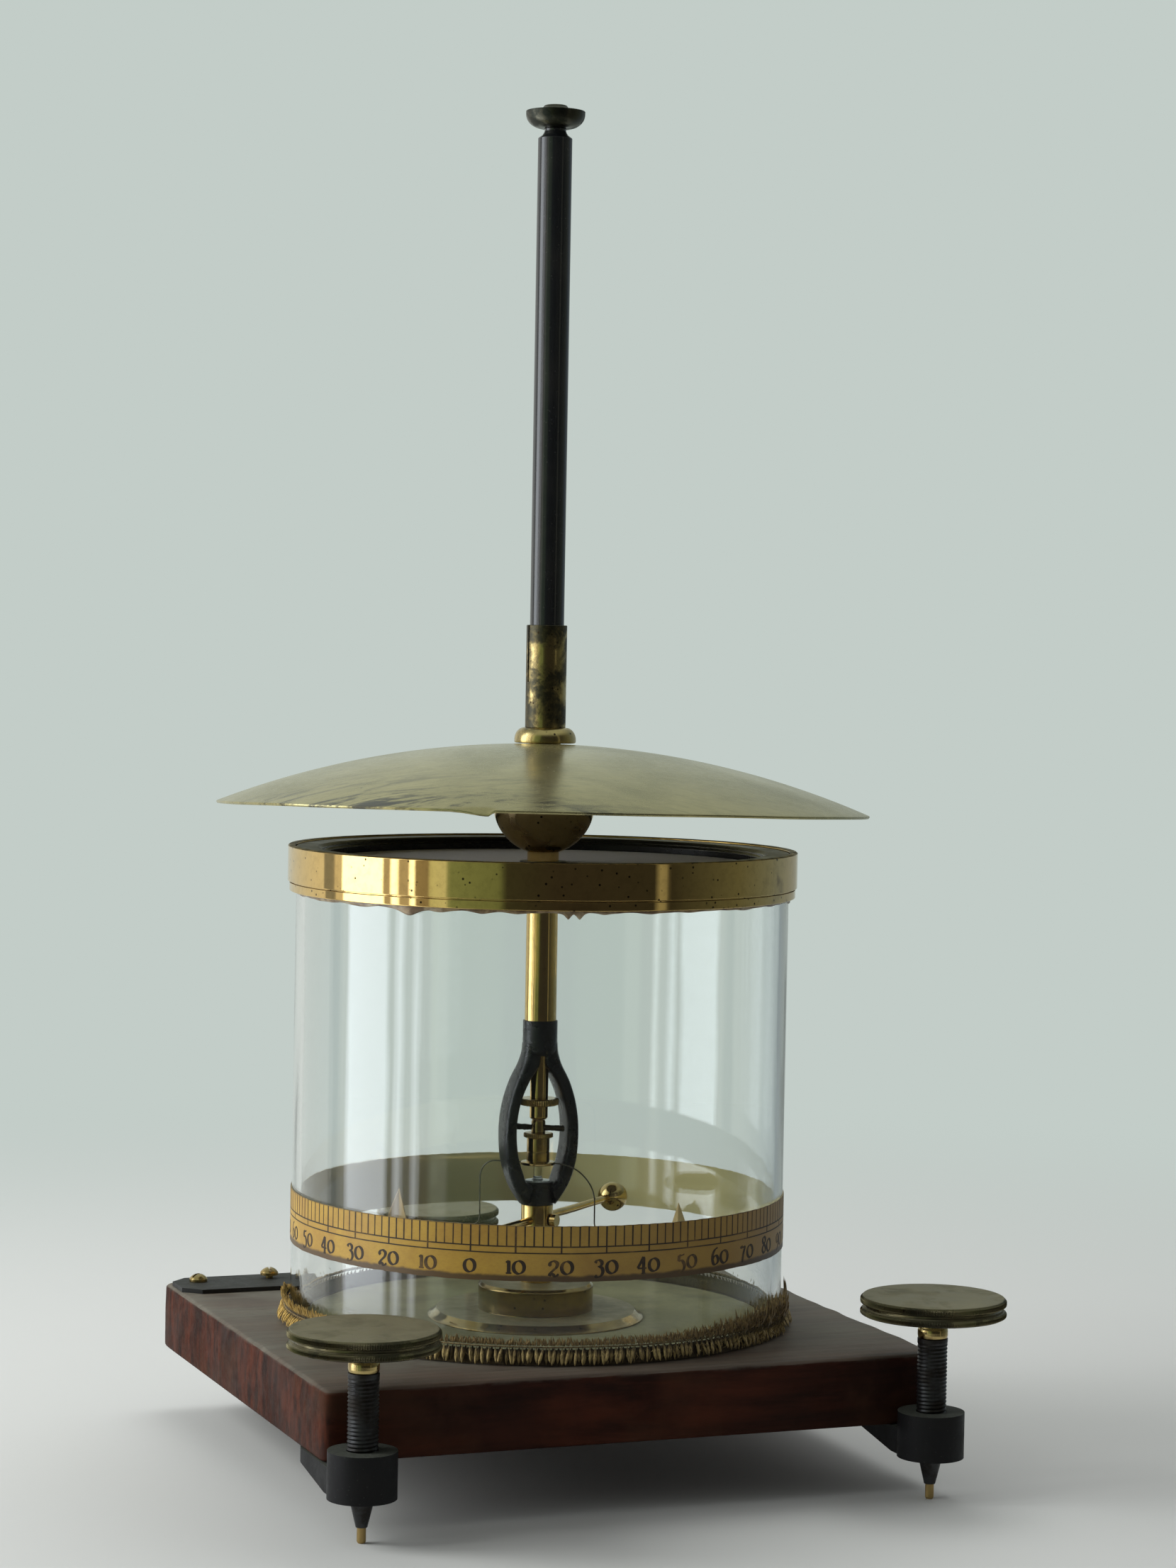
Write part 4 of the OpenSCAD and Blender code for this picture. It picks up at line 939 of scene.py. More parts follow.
@dataclass
class Base:
    """The board with its lining, the lugs and the plate on its corner. Sizes in mm."""

    width: float = 214.0
    depth: float = 198.0
    low: float = 22.5
    top: float = 45.5
    corner: float = 2.4
    edge: float = 1.5
    squareness: float = 60.0
    groove_in: float = 81.7
    groove_out: float = 85.3
    groove_floor: float = 44.0
    bolt_hole: float = 3.1
    recess: float = 10.3
    recess_top: float = 30.5
    round_steps: int = 720

    def rectangle(self, inset: Array) -> Array:
        """The board's plan, drawn in by an inset: along a ray at angle a, a smooth least of
        half width over |cos a| and half depth over |sin a|, by a high power.

        Args:
            inset: how far each row lies inside the plan.

        Returns:
            Array of rows by angles by 2.
        """
        a = self.angles()
        x, y = self.width / 2 - inset[:, None], self.depth / 2 - inset[:, None]
        n = self.squareness
        reach = ((np.abs(np.cos(a)) / x) ** n + (np.abs(np.sin(a)) / y) ** n) ** (-1 / n)
        return reach[..., None] * np.stack([np.cos(a), np.sin(a)], -1)

    def angles(self) -> Array:
        """Angles round the board, closer together towards its four corners."""
        corner = math.atan2(self.depth, self.width)
        knots = np.array([-corner, corner, math.pi - corner, math.pi + corner, TAU - corner])
        share = np.linspace(0, 4, self.round_steps, endpoint=False)
        part = share.astype(int)
        s = share - part
        eased = 0.5 - 0.5 * np.cos(math.pi * s)
        s = 0.35 * s + 0.65 * eased
        return knots[part] + s * (knots[part + 1] - knots[part])

    def board(self) -> Skin:
        """The board: rows run from the bolt hole under it, over its edges, down into the
        glass's groove, and back to the hole. Quarters of a circle round its edges, which an
        uneven line wears."""
        a = self.angles()
        q = np.linspace(0, math.pi / 2, 6)
        inset = np.concatenate([[14, self.edge + 0.4], self.edge * (1 - np.sin(q)),
                                [0, 0, 0, 0], self.edge * (1 - np.cos(q)),
                                [self.edge + 0.4, self.edge + 2.5]])
        z = np.concatenate([[self.low, self.low], self.low + self.edge * (1 - np.cos(q)),
                            self.low + self.edge + np.array([0.4, 7, 13, 19.6]),
                            self.top - self.edge * (1 - np.sin(q)), [self.top, self.top]])
        plan = self.rectangle(inset)
        share = np.clip(1 - np.abs(inset - 0.6) / 2.5, 0, 1) * (z > self.top - 4)
        wear = (0.35 + 0.35 * waves(a, 3, [5, 9, 17, 31, 47])) * share[:, None]
        plan *= (1 - wear / 100)[..., None]
        sides = np.concatenate([plan, np.repeat(z[:, None, None], len(a), 1)], -1)
        sides[..., 2] -= 0.5 * wear * (z > self.top - 1)[:, None]
        out, into, top, floor = self.groove_out, self.groove_in, self.top, self.groove_floor
        under = np.array([[self.bolt_hole, self.recess_top], [self.recess, self.recess_top],
                          [self.recess + 0.2, self.low + 0.2], [self.recess + 0.6, self.low],
                          [60, self.low]])[..., None]
        groove = np.array([[out + 0.5, top], [out + 0.15, top], [out, top - 0.15], [out, floor],
                           [into, floor], [into, top - 0.15], [into - 0.15, top],
                           [into - 0.5, top], [40, top], [self.bolt_hole, top]])[..., None]
        under, groove = (polar(rows[:, 0], a, rows[:, 1]) for rows in (under, groove))
        blend = (sides[-1] + groove[0])[None] / 2
        return Skin.grid(np.concatenate([under, sides, blend, groove]), loop=True)

    def build(self) -> None:
        """Makes the board and coats what stays of the base's CAD nodes."""
        make_pieces("stand", ("board", self.board(), Coat.BOARD, "base_board", 40))
        coat_nodes(Coat.LINING, "base_lining")
        coat_nodes(Coat.LUG, "front_left_lug", "front_right_lug", "rear_lug")
        coat_nodes(Coat.PLATE, "corner_plate")
        coat_nodes(Coat.SMALL, "lug_screws", "plate_screws", "centre_bolt", "centre_nut")


@dataclass
class LevellingScrew:
    """One screw: threaded shaft with a tapered point, and a knurled head. Sizes in mm."""

    name: str
    x: float
    y: float
    radius: float = 5.0
    pitch: float = 1.25
    thread_depth: float = 0.42
    thread_low: float = 16.4
    thread_high: float = 52.4
    top: float = 53.3
    spigot: float = 63.75
    head_radius: float = 24.0
    head_low: float = 60.7
    head_top: float = 67.0
    teeth: int = 300

    def shaft(self) -> Skin:
        """The shaft. In the thread a point's radius is the shaft's, less the thread's depth
        times a triangle wave of height over pitch less turns, faded at both ends."""
        rise = np.arange(self.thread_low, self.thread_high, self.pitch / 8)
        r, z = self.radius, self.top
        low = outline([(0, 0), (1.1, 0), (1.45, 0.6), (1.45, 5), (1.85, 5), (4.0, 14),
                       (4.4, 14.4), (5.0, 15.2), (5.0, 16.2)], 0.1)[:-1]
        high = outline([(r, z - 0.6), (r, z), (3.0, z), (3.0, self.spigot), (0, self.spigot)],
                       0.15)[1:]
        rows = np.vstack([low, np.stack([np.full(len(rise), r), rise], -1), high])
        a = round_angles(48)
        phase = rows[:, 1:2] / self.pitch - a / TAU
        wave = np.abs((phase % 1) * 2 - 1)
        fade = (np.clip((rows[:, 1:2] - self.thread_low) / 2, 0, 1)
                * np.clip((self.thread_high - rows[:, 1:2]) / 2, 0, 1)
                * (rows[:, :1] > r - 0.01))
        radial = rows[:, :1] - self.thread_depth * (1 - wave) * fade
        return Skin.grid(polar(radial, a, rows[:, 1:]))

    def head(self) -> Skin:
        """The head: two knurled rims with a groove between them."""
        r, low, top = self.head_radius, self.head_low, self.head_top
        rows = outline([(0, 63.95), (3.05, 63.95), (3.05, low), (r - 1.0, low),
                        (r, low + 0.5, 0.2), (r, low + 1.5, 0.2), (r - 0.8, low + 2.3, 0.2),
                        (r - 1.6, low + 2.7), (r - 1.6, low + 3.5), (r, low + 4.0, 0.3),
                        (r, top - 0.85, 0.2), (r - 0.85, top, 0.25),
                        (r - 4.0, top), (0, top)], 0.12, steps=2)
        return knurled(rows, self.teeth, 0.32, r - 0.8, r - 0.25, samples=4)

    def neck(self) -> Skin:
        """The neck between head and thread, swelling a little."""
        return lathe(outline([(3.05, 53.36), (4.7, 53.36, 0.2), (5.0, 54.2, 0.5),
                              (5.0, 56.0, 0.6), (4.6, 57.2, 0.5), (4.6, 60.65), (3.05, 60.65)],
                             0.1), 64)

    def build(self) -> None:
        """Makes the shaft and the head on their two bodies."""
        name, place = self.name, (self.x, self.y, 0)
        make_pieces(f"{name}_shaft", (f"{name}_shaft_piece", self.shaft().moved(place),
                                      Coat.SHAFT, f"{name}_screw", 50))
        make_pieces(f"{name}_knob", (f"{name}_head_piece", self.head().moved(place),
                                     Coat.HEADS, f"{name}_head", 50),
                    (f"{name}_neck", self.neck().moved(place), Coat.NECK, None))


@dataclass
class Numerals:
    """Old-style numerals of a broad pen: upright strokes are wide and level ones thin. A
    unit is the height of a small numeral."""

    thick: float = 0.3
    thin: float = 0.1
    pen: tuple[float, float] = (-0.26, 0.966)

    @staticmethod
    def strokes(digit: str) -> list[Array]:
        """The strokes of one numeral, from x and y in hundredths of a unit."""
        round_top = [10, 84, 22, 103, 42, 107, 62, 92, 60, 70]
        bowl = [42, 57, 64, 44, 72, 14, 57, -16, 28, -27, 8, -14]
        drawn = {
            "0": [[45, 100, 14, 84, 3, 50, 14, 16, 45, 0, 76, 16, 87, 50, 76, 84]],
            "1": [[30, 102, 30, 50, 30, 3], [7, 86, 30, 101], [7, 3, 53, 3]],
            "2": [[20, 66, 10, 76, 18, 94, 42, 103, 68, 86, 62, 56, 36, 30, 14, 6, 8, -14],
                  [8, -14, 28, 2, 54, -16, 80, 2]],
            "3": [round_top + [44, 58, 30, 56], bowl],
            "4": [[52, 118, 28, 72, 2, 30], [2, 28, 80, 28], [54, 118, 54, 50, 54, -12],
                  [36, -12, 72, -12]],
            "5": [[20, 107, 42, 104, 70, 114], [20, 107, 15, 60], [15, 58, 42, 64] + bowl[2:]],
            "6": [[66, 132, 34, 116, 13, 86, 7, 45, 20, 6, 42, -1, 66, 12, 72, 40, 55, 66, 28,
                   64, 12, 46]],
            "7": [[8, 86, 16, 102, 42, 94, 72, 103], [72, 101, 44, 42, 30, -26]],
            "8": [[42, 130, 17, 116, 17, 92, 42, 70, 68, 48, 72, 20, 42, 0, 12, 20, 16, 48, 42,
                   70, 67, 92, 67, 116]],
            "9": [[12, -28, 44, -14, 65, 16, 71, 58, 58, 96, 36, 103, 12, 90, 6, 62, 23, 36, 50,
                   38, 66, 55]],
        }
        return [np.array(line).reshape(-1, 2) / 100 for line in drawn[digit]]

    def flat(self, text: str) -> list[Skin]:
        """The strokes of a number as thin slabs, centred on x, drawn in x and z.

        Each stroke is a spline that carries a box section. Its width goes from thin to thick
        as its direction goes from across the pen's to along it.

        Args:
            text: the numerals.

        Returns:
            One skin for each stroke, with y from 0 to 1 through its thickness.
        """
        section = np.array([[-1, 0], [1, 0], [1, 1], [-1, 1]], float)
        advance = {"1": 0.64}
        width = sum(advance.get(d, 1.0) for d in text)
        x, skins = -width / 2, []
        for digit in text:
            loop = digit in "08"
            for points in self.strokes(digit):
                line = spline(points, 5, loop)
                along = unit(np.roll(line, -1, 0) - np.roll(line, 1, 0) if loop
                             else np.gradient(line, axis=0))
                steep = np.abs(along @ np.array(self.pen)) ** 1.2
                half = (self.thin + (self.thick - self.thin) * steep) / 2
                if not loop:
                    ends = np.minimum(np.arange(len(line)), np.arange(len(line))[::-1])
                    half = half * np.where(ends < 1, 0.75, 1.0)
                path = np.stack([line[:, 0] + x, np.zeros(len(line)), line[:, 1]], -1)
                side = np.stack([along[:, 1], np.zeros(len(line)), -along[:, 0]], -1)
                up = np.broadcast_to(np.array([0.0, 1.0, 0.0]), path.shape)
                skins.append(swept(path, side * half[:, None], up, section, loop=loop))
            x += advance.get(digit, 1.0)
        return skins


@dataclass
class Jar:
    """The glass cylinder with its paper scale and the braid round its foot. Sizes in mm."""

    inner: float = 82.0
    outer: float = 85.0
    low: float = 44.0
    top: float = 203.5
    band_in: float = 85.06
    band_out: float = 85.34
    band_low: float = 72.6
    band_top: float = 90.9
    printed: float = 85.336
    ink: float = 0.035
    zero: float = -125.2
    tick: float = 6.9
    second: float = 9.0
    numeral_low: float = 15.7
    numeral_size: float = 4.15
    braid_in: float = 85.45
    braid_mean: float = 87.0
    braid_low: float = 45.58
    knot: float = 51.7
    frayed: float = -38.0
    peak: float = -21.5
    sag: float = 174.0
    bare: float = 66.0
    tufts: int = 251
    seed: int = 11

    def glass(self) -> Skin:
        """The cylinder's wall; both rims are fire-rounded."""
        into, out, z, top = self.inner, self.outer, self.low, self.top
        return lathe(outline([(into, z), (out, z), (out, top), (into, top)], 0.7), 256)

    def band(self) -> Skin:
        """The paper band: a thin ring whose two edges wander a little."""
        a = round_angles(720)
        low = self.band_low + 0.12 + 0.12 * waves(a, 5, [7, 13, 29, 53, 97])
        top = self.band_top - 0.12 - 0.1 * waves(a, 6, [5, 11, 23, 61, 113])
        radii = np.array([self.band_in, self.band_out, self.band_out, self.band_out,
                          self.band_in])
        share = np.array([0, 0.0, 0.5, 1.0, 1.0])[:, None]
        z = low + (top - low) * share
        return Skin.grid(polar(radii[:, None], a, z), loop=True)

    def wrapped(self, skin: Skin, centre: float) -> Skin:
        """Lays a flat skin on the band: x is the length round it, y its height off it."""
        a = math.radians(centre) + skin.points[:, 0] / self.band_out
        r = self.printed + self.ink * skin.points[:, 1]
        return Skin(polar(r, a, skin.points[:, 2]), skin.quads, skin.tris)

    def line(self, height: float, width: float) -> Skin:
        """A printed line all round the band at a height, a little uneven."""
        a = round_angles(720)
        z = height + 0.05 * waves(a, int(height * 10), [3, 7, 19])
        r = np.array([0, 1, 1, 0])[:, None] * self.ink + self.printed
        dz = np.array([-1, -1, 1, 1])[:, None] * width / 2
        return Skin.grid(polar(r, a, z + dz), loop=True)

    def ticks(self) -> Skin:
        """Divisions of two degrees, and the longer ones of ten: thin upright boxes."""
        corner = np.array([[-1, 0, 0], [1, 0, 0], [1, 1, 0], [-1, 1, 0],
                           [-1, 0, 1], [1, 0, 1], [1, 1, 1], [-1, 1, 1]], float)
        faces = np.array([[1, 2, 3, 0], [7, 6, 5, 4], [4, 5, 1, 0], [5, 6, 2, 1],
                          [6, 7, 3, 2], [7, 4, 0, 3]])
        degrees = np.arange(-180, 180, 2.0)
        tens = degrees % 10 == 0
        low = self.band_top - np.where(tens, self.second, self.tick)[:, None]
        draw = np.random.default_rng(self.seed)
        width = np.where(tens, 0.6, 0.46) * draw.uniform(0.85, 1.15, len(degrees))
        a = (np.radians(self.zero + degrees)[:, None]
             + corner[:, 0] * width[:, None] / 2 / self.band_out)
        z = low + corner[:, 2] * (self.band_top - 0.25 - low)
        r = self.printed + self.ink * corner[:, 1]
        return Skin.many(Skin(corner, faces), polar(r, a, z))

    def numbers(self) -> Skin:
        """The tens, from 0 up to 90 and down again, to both sides of the zero."""
        pen, skins = Numerals(), []
        for ten in range(-17, 19):
            value = abs(ten * 10)
            value = value if value <= 90 else 180 - value
            for skin in pen.flat(str(value)):
                points = skin.points * np.array([self.numeral_size, 1, self.numeral_size])
                points[:, 2] += self.band_top - self.numeral_low
                skins.append(self.wrapped(Skin(points, skin.quads, skin.tris),
                                          self.zero + ten * 10))
        return Skin.joined(skins)

    @staticmethod
    def near(azimuth: Array, degrees: float, before: float, after: float) -> Array:
        """A bell round an azimuth, exp(-(d/w)^2), w being before degrees on the side of the
        smaller angles and after on the other."""
        d = off_by(azimuth, degrees)
        return np.exp(-(d / np.where(d < 0, before, after)) ** 2)

    def fray(self, azimuth: Array) -> Array:
        """How frayed the braid is, from 0 to 1: most at its right, falling quickly behind."""
        return self.near(azimuth, self.frayed, 34.0, 9.0)

    def whole(self, azimuth: Array) -> Array:
        """Where the upper fringe is left, from 0 to 1: it is worn away behind."""
        return np.clip((np.abs(off_by(azimuth, self.bare)) - 82) / 8, 0, 1)

    def knot_z(self, azimuth: Array) -> Array:
        """Height of the binding: it sags on the left."""
        return self.knot - 1.4 * self.near(azimuth, self.sag, 28, 22)

    def locks(self, roots: Array, tips: Array, fat: Array, flat: float,
              shape: Sequence[float], bow: Array, sides: int = 6) -> Skin:
        """Many tapered locks of yarn, given in azimuth, radius and height.

        A lock's middle line runs straight from root to tip and bows outwards by a sine. Its
        section is an ellipse whose size follows the shape along the lock.

        Args:
            roots: each root's azimuth in radians, radius and height.
            tips: the same for each tip.
            fat: each lock's half width round the glass.
            flat: its half thickness over its half width.
            shape: size of the section at equal steps from root to tip.
            bow: how far the middle stands out.
            sides: points of a section.

        Returns:
            One skin of all the locks.
        """
        rows = len(shape)
        t = np.linspace(0, 1, rows)[:, None]
        around = round_angles(sides)
        size = np.array(shape)[:, None] * fat[:, None, None]
        middle = roots[:, None] + (tips - roots)[:, None] * t
        a, r, z = (middle[..., i:i + 1] for i in range(3))
        a = a + np.cos(around) * size / self.braid_mean
        r = r + bow[:, None, None] * np.sin(math.pi * t) + np.sin(around) * size * flat
        r, z = np.maximum(r, self.braid_in), np.maximum(z, self.braid_low)
        grid = polar(r, a, z)
        ends = grid[:, [0, -1]].mean(2)
        points = np.concatenate([ends[:, :1], grid[:, 1:-1].reshape(len(roots), -1, 3),
                                 ends[:, 1:]], 1)
        step = np.arange(rows)[:, None]
        return Skin.many(Skin.grid(polar(1 + step, around, -3.0 * step)), points)

    def lower_row(self, seed: int, shift: float, inset: float, fat: float) -> Skin:
        """The hanging tufts: narrow above, ragged at the board, leaning together in pairs."""
        draw, n = np.random.default_rng(seed), self.tufts
        a = (np.arange(n) + shift) * TAU / n + draw.normal(0, 0.0024, n)
        worn, sag = self.fray(a), self.near(a, self.sag, 28, 22)
        lean = (0.0045 * (-1.0) ** np.arange(n) + draw.normal(-0.003, 0.005, n)
                + worn * draw.normal(-0.004, 0.018, n))
        roots = np.stack([a, self.braid_in + 1.5 - inset + 0 * a, self.knot_z(a) - 0.1], -1)
        foot = self.braid_low + 0.15 + np.abs(draw.normal(0, 0.55, n)) + worn * draw.uniform(
            0, 1.6, n)
        reach = self.braid_in + 3.2 - inset * 1.6 + draw.normal(0, 0.25, n) * (1 + worn)
        tips = np.stack([a + lean, np.minimum(reach + 0.5 * sag, 89.4), foot], -1)
        wide = fat * draw.uniform(0.8, 1.2, n) * (1 + 0.15 * worn - 0.15 * sag)
        return self.locks(roots, tips, wide, 0.75, (0.3, 0.62, 0.85, 1.0, 1.0, 0.72, 0.2),
                          draw.uniform(0, 0.35, n) + 0.3 * sag)

    def upper_row(self, seed: int, count: int, inset: float) -> Skin:
        """The fringe above the binding: even in front, tall and messy where the braid is
        frayed, with one tall lock at its end, and open like a fan on the left."""
        draw, n = np.random.default_rng(seed), count
        a = np.arange(n) * TAU / n + draw.normal(0, 0.003, n)
        worn, sag, whole = self.fray(a), self.near(a, self.sag, 28, 22), self.whole(a)
        tall = (2.1 + 0.5 * waves(a, seed, [5, 11, 23, 61, 97]) + draw.normal(0, 0.4, n)
                + worn * draw.uniform(2.5, 7.5, n) + 2.4 * sag) * (0.25 + 0.75 * whole)
        peak = self.near(a, self.peak, 1.9, 1.9)
        tall = np.clip(tall + 6.5 * peak * draw.uniform(0.5, 1.1, n), 0.5, 12.5)
        roots = np.stack([a, self.braid_in + 1.35 - inset + worn * draw.uniform(0, 1.2, n),
                          self.knot_z(a) + 0.3 - worn * draw.uniform(0, 3.0, n)], -1)
        out = self.braid_in + 0.75 - inset * 0.5 + draw.uniform(0, 0.5, n) + worn * (
            draw.uniform(-0.3, 3.2, n)) * (1 - peak) + 2.4 * sag * draw.uniform(0.6, 1, n)
        lean = draw.normal(0, 0.007, n) + worn * draw.normal(-0.01, 0.03, n) * (1 - 0.7 * peak)
        tips = np.stack([a + lean, np.minimum(out, 89.8), roots[:, 2] + tall], -1)
        fat = draw.uniform(0.26, 0.44, n) * (1 + 0.6 * worn)
        return self.locks(roots, tips, fat, 0.8, (0.6, 1.0, 0.95, 0.7, 0.15),
                          0.3 * draw.uniform(0, 1, n) * (1 + worn), sides=5)

    def strays(self, seed: int, count: int) -> Skin:
        """Loose fibres: a few all round, many where the braid is frayed."""
        draw = np.random.default_rng(seed)
        spread = np.radians(self.frayed - np.abs(draw.normal(0, 24, count)))
        a = np.where(np.arange(count) % 3 > 0, spread, draw.uniform(0, TAU, count))
        worn = self.fray(a)
        z = draw.uniform(self.braid_low + 1.0, self.knot + 2.0, count) + worn * draw.uniform(
            0, 2.5, count)
        roots = np.stack([a, self.braid_in + draw.uniform(0.9, 2.2, count) + 0.8 * worn, z], -1)
        long = draw.uniform(0.8, 1.8, count) * (1 + 1.1 * worn)
        tilt = draw.normal(0, 0.7, count)
        rise = np.cos(tilt) * long * np.where(z > self.knot, 1, draw.choice([-1, 1], count))
        out = draw.uniform(0.0, 0.9, count) * (0.5 + worn)
        tips = roots + np.stack([np.sin(tilt) * long / self.braid_mean, out, rise], -1)
        tips[:, 1] = np.minimum(tips[:, 1], 89.9)
        tips[:, 2] = np.maximum(tips[:, 2], self.braid_low + 0.2)
        fat = draw.uniform(0.1, 0.2, count) * (1 + 0.5 * worn)
        return self.locks(roots, tips, fat, 1.0, (0.8, 1.0, 0.7, 0.15),
                          draw.uniform(0, 0.3, count), sides=4)

    def braid(self) -> Skin:
        """The braid: a dark core on the glass, two rows of locks, a binding cord, strays."""
        core = lathe(outline([(self.braid_in, 45.6), (self.braid_in + 1.3, 45.6),
                              (self.braid_in + 0.9, 49.6), (self.braid_in + 0.4, 50.6),
                              (self.braid_in, 50.6)], 0.3), 240)
        a = round_angles(960)
        r = self.braid_in + 1.55 + 0.12 * np.sin(a * self.tufts)
        z = self.knot_z(a) + 0.1 * waves(a, 9, [4, 9, 21])
        path, side = polar(r, a, z), polar(1.0, a, 0.0)
        up = np.broadcast_to(np.array([0.0, 0.0, 1.0]), path.shape)
        cord = swept(path, side, up, round_section(0.26, 8), loop=True)
        return Skin.joined([core, cord, self.lower_row(21, 0.0, 0.0, 0.56),
                            self.lower_row(22, 0.5, 0.9, 0.62), self.upper_row(23, 1100, 0.0),
                            self.upper_row(24, 900, 0.6), self.strays(25, 1700)])

    def build(self) -> None:
        """Makes the glass, the band, its printing and the braid."""
        printing = Skin.joined([self.ticks(), self.line(self.band_top - self.tick, 0.44),
                                self.line(self.band_top - self.second, 0.42)])
        make_pieces("stand", ("jar", self.glass(), Coat.GLASS, "glass_cylinder"),
                    ("scale", self.band(), Coat.SCALE, "scale_band"),
                    ("scale_divisions", printing, Coat.INK, None),
                    ("scale_numbers", self.numbers(), Coat.INK, None),
                    ("braid", self.braid(), Coat.YARN, "foot_braid", 60))


@dataclass
class Lid:
    """The lid: bright rim, stepped moulding, plate, bush and cement. Sizes in mm."""

    rim_in: float = 85.3
    rim_out: float = 87.9
    rim_low: float = 193.0
    rim_top: float = 208.6
    moulding_in: float = 75.45
    moulding_out: float = 85.05
    glass_top: float = 203.5
    moulding_high: float = 4.4
    plate_in: float = 8.05
    plate_out: float = 81.7
    plate_low: float = 200.5
    cement_in: float = 85.06

    def rim(self) -> Skin:
        """The rim: a thin lip, a narrow groove, then the polished band."""
        r, out, z, top = self.rim_in, self.rim_out, self.rim_low, self.rim_top
        return lathe(outline([(r, z), (out - 0.6, z, 0.3), (out - 0.6, z + 2.8, 0.1),
                              (out - 1.3, z + 2.9, 0.1), (out - 1.3, z + 3.3, 0.1),
                              (out, z + 3.4, 0.15), (out, top - 0.35, 0.15),
                              (out - 0.35, top, 0.2), (r + 0.3, top, 0.2),
                              (r, top - 0.3, 0.2)], 0.15), 360)

    def moulding(self) -> Skin:
        """The moulding: a steep inner side with one step, and a wide flat on top."""
        r, z, h = self.moulding_in, self.glass_top, self.moulding_high
        rows = outline([(r, z), (r, z + 2.3, 0.3), (r + 0.7, z + 2.8, 0.3),
                        (r + 0.8, z + 3.5, 0.3), (r + 1.9, z + h, 0.7),
                        (self.moulding_out, z + h + 0.1, 0.3), (self.moulding_out, z)], 0.15)
        return lathe(rows, 300)

    def plate(self) -> Skin:
        """The plate under the moulding."""
        into, out, z, top = self.plate_in, self.plate_out, self.plate_low, self.glass_top
        return lathe(outline([(into, z), (out, z), (out, top), (into, top)], 0.25), 240)

    def cement(self) -> Skin:
        """The cement: a fillet under the lip whose lower edge runs down in rounded drops.

        The drop below the lip is a base, an uneven line and a bell for each run,
        exp(-|d/w|^1.6) of the angle's distance d from it. The body swells with it.

        Returns:
            The skin.
        """
        a = round_angles(1440)
        deg = np.degrees(a)
        runs = np.array([-168, -156, -141, -133, -124, -116, -105, -102.5, -97, -86, -60,
                         -30, 5, 35, 80, 118, 160], float)
        drops = np.array([0.5, 0.7, 2.3, 0.9, 0.7, 0.5, 1.9, 2.2, 0.7, 0.4, 0.5, 0.9, 0.6, 1.1,
                          0.6, 1.0, 0.7])
        wide = np.array([5.0, 4.5, 3.2, 3.0, 3.0, 2.5, 0.8, 0.9, 1.6, 2.0, 3.5, 1.8, 3.0, 1.8,
                         3.0, 1.6, 3.0])
        away = (deg[:, None] - runs + 180) % 360 - 180
        bells = (drops * np.exp(-np.abs(away / wide) ** 1.6)).max(1)
        drop = 0.75 + 0.2 * waves(a, 31, [11, 23, 37, 61]) + bells
        thick = 0.6 + 0.1 * waves(a, 32, [9, 21, 43]) + 0.35 * np.sqrt(np.abs(bells))
        s = np.linspace(0, 1, 9)[:, None]
        r_out = self.cement_in + 0.02 + thick * np.sin(math.pi * (0.5 + 0.5 * s)) ** 0.5
        z_out = self.rim_low - drop * np.sin(math.pi / 2 * s)
        r_out = np.vstack([np.full(len(a), self.cement_in), r_out])
        z_out = np.vstack([np.full(len(a), self.rim_low), z_out])
        return Skin.grid(polar(r_out, a, z_out), loop=True)

    def build(self) -> None:
        """Makes the lid's pieces."""
        make_pieces("stand", ("rim", self.rim(), Coat.RIM, "lid_rim"),
                    ("moulding", self.moulding(), Coat.MOULDING, "lid_moulding"),
                    ("plate", self.plate(), Coat.LID, "lid_plate"),
                    ("cement", self.cement(), Coat.CEMENT, "lid_cement"))
        coat_nodes(Coat.EBONITE, "lid_bush")


